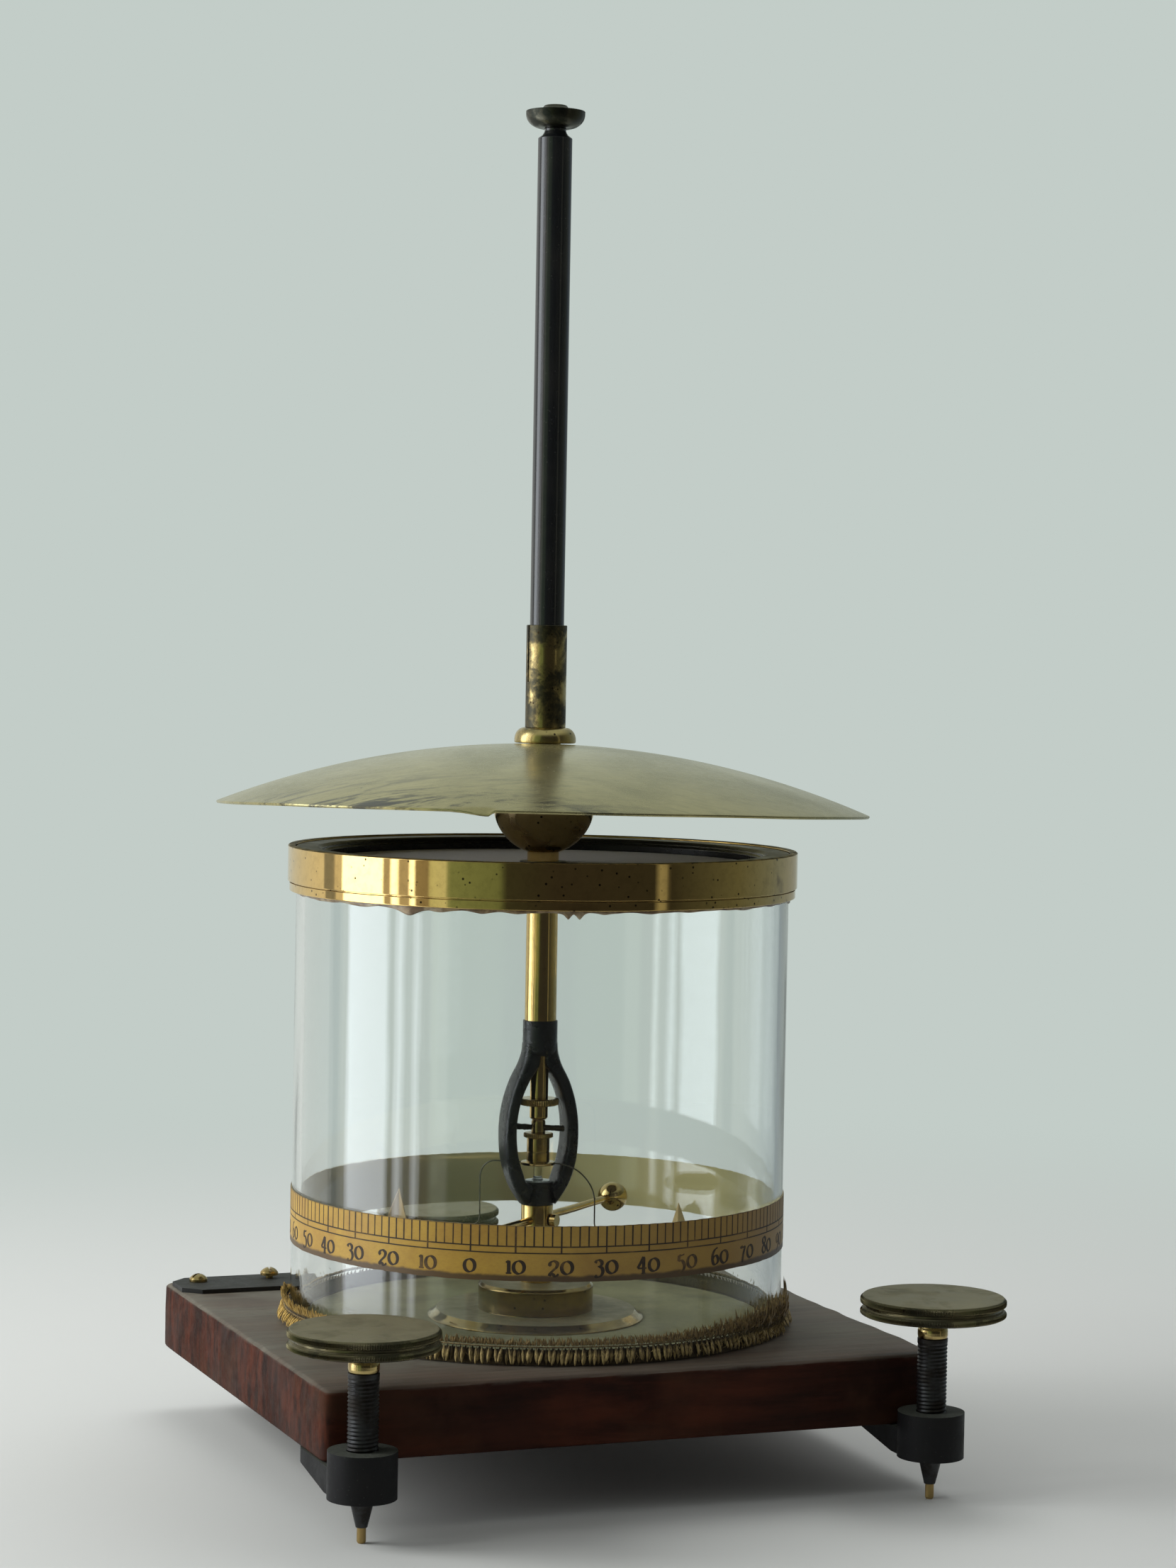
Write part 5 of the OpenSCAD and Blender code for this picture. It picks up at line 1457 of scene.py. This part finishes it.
@dataclass
class Pedestal:
    """Flange, plinth and column, with the contact arm and its clamp. Sizes in mm."""

    arm_z: float = 79.6
    arm_angle: float = 42.0
    arm_reach: float = 60.0
    ball_r: float = 5.3

    def flange(self) -> Skin:
        """The flange: a flat disc whose edge slopes down in a shallow hollow."""
        return lathe(outline([(2.6, 46.0), (37.5, 46.0, 0.1), (37.5, 46.5, 0.25),
                              (36.2, 47.2, 1.2), (34.3, 48.7, 0.35), (2.6, 48.7)], 0.1), 240)

    def plinth(self) -> Skin:
        """The plinth: a drum with a bevel on top."""
        return lathe(outline([(2.6, 48.0), (20.2, 48.0, 0.2), (20.0, 49.0, 0.3),
                              (20.0, 57.0, 0.3), (18.9, 58.0, 0.3), (2.6, 58.0)], 0.1), 200)

    def along_arm(self, rows: Array, sides: int) -> Skin:
        """Turns a profile about the arm's axis: a point is (height, r cos a, r sin a), turned
        by the arm's angle and lifted to its height."""
        skin = lathe(rows, sides)
        skin = Skin(skin.points[:, [2, 0, 1]], skin.quads, skin.tris)
        return skin.moved((0, 0, self.arm_z), self.arm_angle).outward()

    def rod(self) -> Skin:
        """The arm's rod."""
        h = self.arm_reach - 4.05
        rows = outline([(0, -h), (1.35, -h), (1.35, h), (0, h)], 0.1)
        return self.along_arm(rows, 32)

    def balls(self) -> Skin:
        """The two balls: r = R cos t and x = reach + R sin t, t from -90 to 90 degrees."""
        t = np.linspace(-math.pi / 2, math.pi / 2, 33)
        rows = self.ball_r * np.stack([np.cos(t), np.sin(t)], -1)
        rows[[0, -1], 0] = 0
        return Skin.joined([self.along_arm(rows + np.array([0, x]), 48)
                            for x in (-self.arm_reach, self.arm_reach)])

    def build(self) -> None:
        """Makes the pedestal's pieces."""
        make_pieces("stand", ("flange", self.flange(), Coat.BASE, "base_flange"),
                    ("plinth_drum", self.plinth(), Coat.BASE, "plinth"))
        make_pieces("arm", ("arm_rod_piece", self.rod(), Coat.ROD, "arm_rod"),
                    ("arm_balls_piece", self.balls(), Coat.ARM_BALL, "arm_balls"))
        coat_nodes(Coat.ROD, "column", "clamp_screw")


@dataclass
class Yoke:
    """The black yoke, its stem and knurled nut, the pillar and its point. Sizes in mm."""

    strap_depth: float = 10.4
    neck_depth: float = 8.6
    outer: tuple[tuple[float, float], ...] = (
        (5.6, 84.9), (7.8, 88.0), (10.1, 92.0), (11.7, 96.0), (12.8, 100.0), (13.4, 104.5),
        (13.6, 109.5), (13.4, 114.3), (12.7, 118.9), (11.8, 122.6), (10.6, 126.3),
        (9.1, 130.0), (7.4, 133.7), (6.3, 137.5), (5.95, 141.0))
    inner: tuple[tuple[float, float], ...] = (
        (3.0, 92.4), (5.4, 93.1), (6.6, 96.2), (7.8, 99.6), (8.8, 104.2), (9.25, 109.5),
        (9.1, 114.2), (8.4, 118.6), (7.3, 122.4), (5.7, 126.2), (3.9, 129.5), (2.1, 131.8),
        (0.8, 133.2), (0.2, 136.0), (0.1, 141.0))
    socket_top: float = 148.8

    def side(self) -> Skin:
        """The right half of the strap, from foot to socket.

        Its outlines are splines through half widths and heights. The section between a point
        of one and that of the other is a rounded bar, shallower and rounder at the socket.

        Returns:
            The skin.
        """
        out, into = spline(self.outer, 7), spline(self.inner, 7)
        outer = np.stack([out[:, 0], np.zeros(len(out)), out[:, 1]], -1)
        inner = np.stack([into[:, 0], np.zeros(len(out)), into[:, 1]], -1)
        a = round_angles(40)
        c, s = np.cos(a), np.sin(a)
        to_neck = np.clip((out[:, 1:] - 128.0) / 11.0, 0, 1)
        across = np.sign(c) * np.abs(c) ** (0.58 + 0.3 * to_neck)
        depth = self.strap_depth + (self.neck_depth - self.strap_depth) * to_neck
        deep = np.sign(s) * np.abs(s) ** (0.45 + 0.35 * to_neck) * depth / 2
        middle, reach = (outer + inner) / 2, (outer - inner) / 2
        points = middle[:, None] + across[..., None] * reach[:, None]
        points[..., 1] += deep
        return Skin.capped(points)

    def strap_and_ends(self) -> Skin:
        """Both halves of the strap, the foot below and the socket above."""
        right = self.side()
        left = Skin(right.points * np.array([-1, 1, 1]), right.quads, right.tris).outward()
        foot = lathe(outline([(0, 84.85), (5.5, 84.85, 0.3), (5.5, 92.9, 0.5), (0, 92.9)], 0.1),
                     96)
        top = self.socket_top
        socket = lathe(outline([(5.56, 139.2), (5.56, top, 0.15), (6.0, top, 0.2),
                                (6.0, 141.0, 2.0), (5.9, 138.0, 0.6), (5.0, 136.6, 0.8),
                                (3.3, 136.6, 0.2), (3.3, 139.2)], 0.1), 96)
        return Skin.joined([right, left, foot, socket])

    def pillar(self) -> Skin:
        """The glass pillar: a flat seat that sweeps up into a thin stem with a bore."""
        return lathe(outline([(0, 89.0), (1.4, 89.0), (1.4, 92.93, 0.05), (4.3, 92.93, 0.1),
                              (4.3, 93.2, 0.1), (1.9, 93.3, 0.3), (1.45, 94.2, 0.6),
                              (1.42, 101.8, 0.3), (0.62, 101.8, 0.1), (0.62, 99.6), (0, 99.6)],
                             0.1), 64)

    def stem(self) -> Skin:
        """The stem, with a small step at its lower end."""
        return lathe(outline([(0, 114.35), (2.6, 114.35, 0.3), (3.15, 115.0, 0.2),
                              (3.15, 138.6), (0, 138.6)], 0.15), 64)

    def nut(self) -> Skin:
        """The knurled nut on the stem."""
        rows = outline([(0, 119.3), (6.3, 119.3, 0.2), (7.0, 119.6, 0.3), (7.0, 121.4, 0.3),
                        (6.3, 121.7, 0.2), (0, 121.7)], 0.12, steps=3)
        return knurled(rows, 54, 0.42, 5.9, 6.8)

    def build(self) -> None:
        """Makes the yoke's pieces."""
        make_pieces("stand", ("yoke_strap", self.strap_and_ends(), Coat.YOKE, "yoke", 40),
                    ("stem", self.stem(), Coat.ROD, "yoke_stem"))
        make_pieces("arrest", ("nut", self.nut(), Coat.NEEDLE, "arrest_nut", 50))
        make_pieces("stand", ("pillar", self.pillar(), Coat.PILLAR, "pivot_pillar"))
        coat_nodes(Coat.POINT, "pivot_point")


@dataclass
class Needle:
    """The needle: flanged sleeve, ring, magnet, two wires and two vanes. Sizes in mm."""

    azimuth: float = -33.0
    wire: float = 0.25
    wire_z: float = 99.2
    low_z: float = 76.6
    drop_r: float = 20.4
    foot_bend: float = 2.5
    reach: float = 50.2

    def sleeve(self) -> Skin:
        """The flange and sleeve, open below for the point, with fine turned grooves."""
        rows = outline([(0, 106.5), (1.9, 106.5), (1.9, 98.62), (5.9, 98.62, 0.15),
                        (6.0, 99.5, 0.2), (5.0, 99.8, 0.15), (3.95, 99.8, 0.15),
                        (3.95, 103.0, 0.1), (3.8, 103.2, 0.1), (3.95, 103.4, 0.1),
                        (3.95, 107.9, 0.1), (0, 107.9)], 0.08)
        return lathe(rows, 72)

    def ring(self) -> Skin:
        """The knurled ring on the sleeve."""
        rows = outline([(0, 107.95), (4.5, 107.95, 0.1), (5.15, 108.25, 0.15),
                        (5.15, 109.45, 0.15), (4.5, 109.7, 0.15), (0, 109.7)], 0.1, steps=3)
        return knurled(rows, 40, 0.3, 4.4, 4.95)

    def holder(self) -> Skin:
        """The rod that carries the magnet, with a waist at the magnet."""
        rows = outline([(0, 109.7), (2.45, 109.7), (2.45, 113.6, 0.2), (2.1, 114.2, 0.2),
                        (0, 114.2)], 0.12)
        return lathe(rows, 48)

    def magnet(self) -> Skin:
        """The magnet: a round bar, roughly filed, so that its radius is uneven."""
        x = np.linspace(-9.2, 9.2, 60)
        a = round_angles(20)
        draw = np.random.default_rng(4)
        rough = draw.normal(0, 0.05, (len(x), len(a)))
        crust = 0.22 * np.clip(waves(x[:, None] * 0.9 + np.cos(a), 5, [1, 2, 3, 5]), 0, 1)
        ends = np.clip((9.25 - np.abs(x)) / 0.25, 0.55, 1)[:, None]
        r = (0.92 + rough + crust) * ends
        points = np.stack([np.repeat(x[:, None], len(a), 1), r * np.cos(a),
                           111.45 + r * np.sin(a)], -1)
        return Skin.capped(points)

    def one_wire(self, out: float, down: float) -> Skin:
        """A wire: out of the flange, over a quarter of an ellipse, out wide and down high,
        then down, round the foot's bend and out to the vane."""
        top = np.linspace(0, math.pi / 2, 16)
        foot = np.linspace(math.pi, 1.5 * math.pi, 9)
        x1, x2 = self.drop_r - out, self.drop_r + self.foot_bend
        path = np.vstack([
            np.stack([np.linspace(5.4, x1, 5)[:-1], np.full(4, self.wire_z)], -1),
            np.stack([x1 + out * np.sin(top), self.wire_z - down * (1 - np.cos(top))], -1),
            np.stack([np.full(6, self.drop_r),
                      np.linspace(self.wire_z - down, self.low_z + self.foot_bend, 8)[1:-1]],
                     -1),
            np.stack([x2 + self.foot_bend * np.cos(foot),
                      self.low_z + self.foot_bend * (1 + np.sin(foot))], -1),
            np.stack([np.linspace(x2, self.reach, 8)[1:], np.full(7, self.low_z)], -1)])
        line = np.stack([path[:, 0], 0.1 * np.sin(path[:, 0] * 0.35) * (path[:, 0] > 8),
                         path[:, 1]], -1)
        up = np.broadcast_to([0.0, 1.0, 0.0], line.shape)
        side = np.cross(unit(np.gradient(line, axis=0)), up)
        return swept(line, side, up, round_section(self.wire, 10))

    def wires(self) -> Skin:
        """The two wires: one droops in a wide curve, the other turns down sharply."""
        return Skin.joined([self.one_wire(14.2, 13.0), self.one_wire(5.0, 6.0).moved(turn=180)])

    def build(self) -> None:
        """Makes the needle's pieces on its body."""
        magnet = self.magnet().moved(turn=self.azimuth)
        wires = self.wires().moved(turn=self.azimuth)
        make_pieces("needle", ("needle_sleeve", self.sleeve(), Coat.NEEDLE, "needle_cap"),
                    ("needle_ring", self.ring(), Coat.NEEDLE, "cap_ring", 50),
                    ("needle_rod", self.holder(), Coat.NEEDLE, "magnet_holder"),
                    ("needle_magnet", magnet, Coat.MAGNET, "magnet_bar", 60),
                    ("needle_wire", wires, Coat.WIRE, "needle_wires", 60))
        coat_nodes(Coat.VANE, "needle_vanes")
        coat_nodes(Coat.GARNET, "cap_jewel")


@dataclass
class Crown:
    """Main rod, ball, shield, collar and split sleeve. Sizes in mm."""

    ball_z: float = 223.8
    ball_r: float = 17.6
    bore: float = 5.56
    dish_r: float = 112.4
    dish_rise: float = 22.1
    dish_top: float = 244.4
    dish_t: float = 0.9
    lean: float = 2.2
    lean_to: float = 57.0
    dent: float = -119.2
    dent_from: float = 110.9
    rod_r: float = 5.5
    rod_low: float = 139.25
    rod_top: float = 257.0
    sleeve_in: float = 5.96
    sleeve_out: float = 7.0
    sleeve_low: float = 250.02
    sleeve_top: float = 285.3
    slit_low: float = 265.7
    slit: float = 0.45
    slit_turn: float = 7.3

    def rod(self) -> Skin:
        """The main rod."""
        r, low, top = self.rod_r, self.rod_low, self.rod_top
        return lathe(outline([(0, low), (r, low), (r, top), (0, top)], 0.3), 96)

    def ball(self) -> Skin:
        """The ball, bored for the rod: r = R cos t, z = centre + R sin t outside."""
        edge = math.acos(self.bore / self.ball_r)
        t = np.linspace(-edge, edge, 72)
        rows = np.stack([self.ball_r * np.cos(t), self.ball_z + self.ball_r * np.sin(t)], -1)
        return lathe(rows, 144)

    def dish(self) -> Skin:
        """The shield: a thin spherical cap with a rounded lip, a little uneven.

        At angle t off the axis of a sphere of radius R, r = R sin t and the height below the
        crown is R (1 - cos t). The sheet waves a little, and the dent bends its lip down.

        Returns:
            The skin, leaned about its crown.
        """
        sphere = (self.dish_r ** 2 + self.dish_rise ** 2) / (2 * self.dish_rise)
        rim = math.asin(self.dish_r / sphere)
        t = np.append(np.linspace(math.asin(5.8 / sphere), 0.975 * rim, 34),
                      np.array([0.985, 0.99, 0.995, 1.0]) * rim)
        inner = sphere - self.dish_t
        top = np.stack([sphere * np.sin(t), self.dish_top - sphere * (1 - np.cos(t))], -1)
        low = np.stack([inner * np.sin(t), self.dish_top - self.dish_t
                        - inner * (1 - np.cos(t))], -1)[::-1]
        lip = np.array([[top[-1, 0] - 0.02, (top[-1, 1] + low[0, 1]) / 2]])
        rows = np.vstack([top[:-1], top[-1:] - [[0.12, -0.02]], lip, low])
        a = round_angles(720)
        share = np.clip(rows[:, :1] / self.dish_r, 0, 1) ** 2
        wave = 0.14 * waves(a, 17, [2, 3, 5]) + 0.05 * waves(a, 18, [9, 13])
        bent = np.interp(off_by(a, self.dent), [-6.8, -4.5, -1.6, -0.5, 0.0, 0.35],
                         [0, 0.35, 1.2, 1.35, 1.2, 0])
        bent = bent * np.clip((rows[:, :1] - self.dent_from) / 1.3, 0, 1)
        points = polar(rows[:, :1], a, rows[:, 1:] + share * (wave - 0.19) - bent)
        direction = math.radians(self.lean_to)
        axis = (-math.sin(direction), math.cos(direction), 0)
        return Skin.grid(points, loop=True).leaned(self.lean, axis, (0, 0, self.dish_top))

    def collar(self) -> Skin:
        """The collar: a low edge, then a quarter of an ellipse up to the sleeve."""
        t = np.linspace(0, math.pi / 2, 14)
        dome = np.stack([7.2 + 3.45 * np.cos(t), 245.8 + 4.2 * np.sin(t)], -1)
        rows = np.vstack([[[5.56, 244.72], [10.3, 244.72], [10.6, 244.95], [10.65, 245.3]],
                          dome, [[5.56, 250.0]]])
        return lathe(rows, 120)

    def sleeve(self) -> Skin:
        """The sleeve: a whole ring below, and two prongs between the slits.

        A prong is the wall's section carried round half a turn, from the angle where the
        slit's half width meets each radius to that of the other slit.

        Returns:
            The skin.
        """
        into, out, low, top = self.sleeve_in, self.sleeve_out, self.sleeve_low, self.sleeve_top
        end = self.slit_low
        ring = lathe(outline([(into, low), (out, low), (out, end), (into, end)], 0.1), 96)
        section = outline([(into, end - 0.1), (out, end - 0.1, 0.02), (out, top, 0.35),
                           (into, top, 0.3)], 0.05)
        start = np.arcsin(self.slit / section[:, 0])
        s = np.linspace(0, 1, 60)[:, None]
        a = start + (math.pi - 2 * start) * s
        points = polar(section[:, 0], a, section[:, 1])
        prong = Skin.capped(points)
        return Skin.joined([ring, prong.moved(turn=self.slit_turn),
                            prong.moved(turn=180 + self.slit_turn)])

    def build(self) -> None:
        """Makes the crown's pieces."""
        make_pieces("stand", ("rod", self.rod(), Coat.ROD, "main_rod"),
                    ("ball", self.ball(), Coat.BALL, "shield_ball"),
                    ("shield", self.dish(), Coat.SHIELD, "shield_dish"),
                    ("collar", self.collar(), Coat.COLLAR, "shield_collar"),
                    ("sleeve", self.sleeve(), Coat.SLEEVE, "split_sleeve"))


@dataclass
class Collector:
    """The collector tube with its neck, bowl and button. Sizes in mm."""

    low: float = 258.0
    radius: float = 5.9
    bore: float = 4.6
    bore_top: float = 441.0
    neck: float = 3.7
    neck_top: float = 455.3
    bowl_top: float = 462.1


    def tube(self) -> Skin:
        """The tube: open below, stepped in at its top to the neck."""
        r, bore, neck, top = self.radius, self.bore, self.neck, self.neck_top
        return lathe(outline([(0, self.bore_top), (bore, self.bore_top), (bore, self.low),
                              (r, self.low, 0.3), (r, top - 3.3, 0.12), (5.5, top - 2.95, 0.2),
                              (4.35, top - 2.1, 0.5), (neck, top - 0.9, 0.7), (3.75, top),
                              (0, top)], 0.1), 96)

    def bowl(self) -> Skin:
        """The bowl: a quarter of an ellipse below, a bead at the lip and a low cone inside."""
        t = np.linspace(0, math.pi / 2, 18)
        low, top = self.neck_top, self.bowl_top
        under = np.stack([self.neck + 6.45 * np.sin(t) ** 0.9,
                          low + 0.05 + 4.9 * (1 - np.cos(t))], -1)
        return lathe(np.vstack([[[0, low]], under, [
            [10.18, 461.15], [10.05, 461.3], [9.7, 461.25], [9.1, 461.0], [8.2, 461.1],
            [5.2, 462.0], [4.6, top], [0, top]]]), 120)

    def button(self) -> Skin:
        """The button: a flat disc with a sloping edge."""
        rows = outline([(0, 462.1), (4.9, 462.1, 0.1), (4.3, 462.6, 0.2), (3.9, 463.2, 0.2),
                        (3.5, 463.35, 0.3), (0, 463.8)], 0.1)
        return lathe(rows, 72)

    def build(self) -> None:
        """Makes the collector's pieces on its body."""
        make_pieces("collector", ("tube", self.tube(), Coat.TUBE, "collector_tube"),
                    ("bowl", self.bowl(), Coat.KNOB, "terminal_bowl"),
                    ("button", self.button(), Coat.KNOB, "top_button"))


# Studio


@dataclass(frozen=True)
class SoftBox:
    """A rectangular lamp that looks at the object's middle. Places in metres."""

    name: str
    azimuth: float
    distance: float
    height: float
    width: float
    tall: float
    power: float
    colour: Colour = (1.0, 1.0, 1.0)
    aim: float = 0.2

    def hang(self) -> None:
        """Makes the lamp."""
        data = bpy.data.lights.new(self.name, "AREA")
        data.shape, data.size, data.size_y = "RECTANGLE", self.width, self.tall
        data.energy, data.color = self.power, self.colour
        lamp = bpy.data.objects.new(self.name, data)
        a = math.radians(self.azimuth)
        lamp.location = (self.distance * math.cos(a), self.distance * math.sin(a), self.height)
        look = Vector((0, 0, self.aim)) - lamp.location
        lamp.rotation_euler = look.to_track_quat("-Z", "Y").to_euler()
        lamp.visible_camera = lamp.visible_glossy = lamp.visible_transmission = False
        bpy.context.scene.collection.objects.link(lamp)


@dataclass
class Studio:
    """Camera, floor, lamps and the plain room around them.

    mirrored is what metal and glass reflect: a brightness and a colour at angles round the
    upright axis, to the left from the photograph's direction. There is a dim room in front,
    two tall windows at the left, and the pale wall behind.
    """

    wall: Colour = (0.545, 0.61, 0.578)
    floor: Colour = (0.58, 0.6, 0.58)
    fill: float = 0.6
    lens: float = 5065.25 / 2212 * 36
    front: float = -110.7
    bright: float = 4.0
    mirrored: tuple[tuple[tuple[float, ...], float, Colour], ...] = (
        ((-180,), 0.95, wall), ((-160,), 0.55, wall), ((-132,), 0.25, (0.8, 1.0, 1.15)),
        ((-98,), 0.14, (0.9, 1.0, 0.8)), ((-58,), 0.045, (0.8, 0.8, 0.7)),
        ((-56, -53), 0.34, (0.9, 0.9, 0.7)), ((-51,), 0.04, (0.9, 0.9, 0.8)),
        ((-6,), 0.035, (1.0, 0.95, 0.9)), ((16,), 0.05, (0.9, 1.0, 0.8)),
        ((19,), 0.22, (0.75, 1.0, 0.6)), ((42,), 0.3, (0.75, 1.0, 0.62)),
        ((43,), 0.75, (0.9, 1.0, 0.8)), ((50.5,), 0.75, (0.9, 1.0, 0.75)),
        ((51.3,), 0.3, (1.0, 0.9, 0.7)), ((58.2,), 0.36, (1.0, 0.9, 0.7)),
        ((58.6, 60.9), 2.8, (0.96, 1.0, 1.03)), ((61.4, 67.2), 0.55, (1.0, 0.95, 0.85)),
        ((67.6, 70.7), 3.2, (0.96, 1.0, 1.04)), ((71.3, 75.2), 0.55, (1.0, 0.95, 0.85)),
        ((75.7, 100.5), 3.4, (0.95, 1.0, 1.05)), ((101.2, 106), 0.8, (1.0, 0.98, 0.9)),
        ((107, 114), 0.33, (0.9, 0.95, 1.0)), ((115,), 0.85, (1.0, 1.0, 0.95)),
        ((180,), 0.95, wall))

    def camera(self) -> None:
        """The photograph's camera: its place, its three directions and its lens."""
        right = Vector((0.93122, -0.36404, 0.01747)).normalized()
        ahead = Vector((0.36446, 0.93039, -0.0394)).normalized()
        up = right.cross(ahead).normalized()
        data = bpy.data.cameras.new("camera")
        data.lens, data.sensor_width, data.sensor_fit = self.lens, 36.0, "AUTO"
        data.clip_start, data.clip_end = 0.05, 50.0
        camera = bpy.data.objects.new("camera", data)
        turn = Matrix((right, up, -ahead)).transposed()
        camera.matrix_world = (Matrix.Translation((-0.43797, -1.15944, 0.2796)) @ turn.to_4x4())
        bpy.context.scene.collection.objects.link(camera)
        bpy.context.scene.camera = camera

    def ground(self) -> None:
        """The floor: a wide disc that keeps the shadow and fades to the wall's colour."""
        radii = np.array([0, 300, 700, 1500, 4000, 12000.0])[:, None]
        data = Skin.grid(polar(radii, round_angles(96), -0.02), rim=True).mesh("floor")
        if data.polygons[0].normal.z < 0:
            data.flip_normals()
        floor = bpy.data.objects.new("floor", data)
        bpy.context.scene.collection.objects.link(floor)
        r = Recipe("floor")
        r.dress(Base_Color=self.floor, Roughness=0.9)
        glow = r.add("ShaderNodeEmission", {"Color": self.wall, "Strength": 1.0})
        clear = r.add("ShaderNodeBsdfTransparent")
        direct, mirrored, _ = r.rays()
        far = r.level(r.from_axis(), 0.22, 0.95)
        shown = r.either(r.sum("MULTIPLY", direct, far), r.shader.outputs[0], glow.outputs[0])
        near = r.level(r.from_axis(), 0.16, 0.5)
        shown = r.either(r.sum("MULTIPLY", mirrored, near), shown, clear.outputs[0])
        r.put(r.output.inputs["Surface"], shown)
        data.materials.append(r.material)

    def room(self) -> None:
        """The world: soft fill light, weaker from the front, the pale wall that the camera
        sees, and the room in reflections."""
        world = bpy.data.worlds.new("room")
        world.use_nodes = True
        bpy.context.scene.world = world
        bench = Bench(world.node_tree)
        coords = bench.add("ShaderNodeTexCoord").outputs["Generated"]
        x, y, z = bench.add("ShaderNodeSeparateXYZ", {0: coords}).outputs
        round_by = bench.sum("MULTIPLY", bench.sum("ARCTAN2", y, x), -1 / TAU)
        round_by = bench.sum("FRACT", bench.sum("ADD", round_by, self.front / 360 + 0.5))
        ramp = bench.add("ShaderNodeValToRGB", {0: round_by})
        stops = ramp.color_ramp.elements
        marks = [(angle, power, colour) for angles, power, colour in self.mirrored
                 for angle in angles]
        for angle, *_ in marks[1:-1]:
            stops.new(angle / 360 + 0.5)
        for stop, (_, power, colour) in zip(stops, marks):
            stop.color = (*(power * c / self.bright for c in colour), 1.0)
        above = bench.level(z, 0.45, 0.85)
        seen_room = bench.blend(above, ramp.outputs[0],
                                tuple(0.75 * c / self.bright for c in self.wall))
        a = math.radians(self.front + 20)
        before = bench.add("ShaderNodeVectorMath", {0: coords,
                                                    1: (math.cos(a), math.sin(a), 0.0)},
                           operation="DOT_PRODUCT").outputs["Value"]
        weak = bench.level(before, -0.2, 0.8, self.fill, 0.22 * self.fill)
        fill = bench.add("ShaderNodeBackground", {"Color": (1.0, 1.0, 1.0), "Strength": weak})
        wall = bench.add("ShaderNodeBackground", {"Color": self.wall, "Strength": 1.0})
        glass = bench.add("ShaderNodeBackground", {"Color": seen_room, "Strength": self.bright})
        _, mirrored, seen = bench.rays()
        shown = bench.either(mirrored, wall.outputs[0], glass.outputs[0])
        bench.add("ShaderNodeOutputWorld",
                  {"Surface": bench.either(seen, fill.outputs[0], shown)})

    def lamps(self) -> None:
        """Two tall soft boxes on the left, like windows, and a weak one overhead."""
        for box in (SoftBox("window", 161.3, 1.25, 0.75, 0.6, 1.05, 15.0),
                    SoftBox("side window", 187.3, 1.35, 0.75, 0.2, 1.05, 4.0),
                    SoftBox("top light", 60.0, 0.6, 1.7, 0.9, 0.9, 9.0)):
            box.hang()

    def build(self) -> None:
        """Sets up the camera, the floor, the world and the lamps."""
        self.camera()
        self.ground()
        self.room()
        self.lamps()
        bpy.context.scene.view_settings.view_transform = "Standard"


def main() -> None:
    """Builds the studio and every sub-assembly."""
    logging.basicConfig(level=logging.INFO, format="%(name)s: %(message)s")
    Studio().build()
    screws = [LevellingScrew("front_left", -98.0, -110.5),
              LevellingScrew("front_right", 98.0, -110.5), LevellingScrew("rear", 0.0, 110.5)]
    for part in (Base(), *screws, Jar(), Lid(), Pedestal(), Yoke(), Needle(), Crown(),
                 Collector()):
        part.build()


if __name__ == "__main__":
    main()
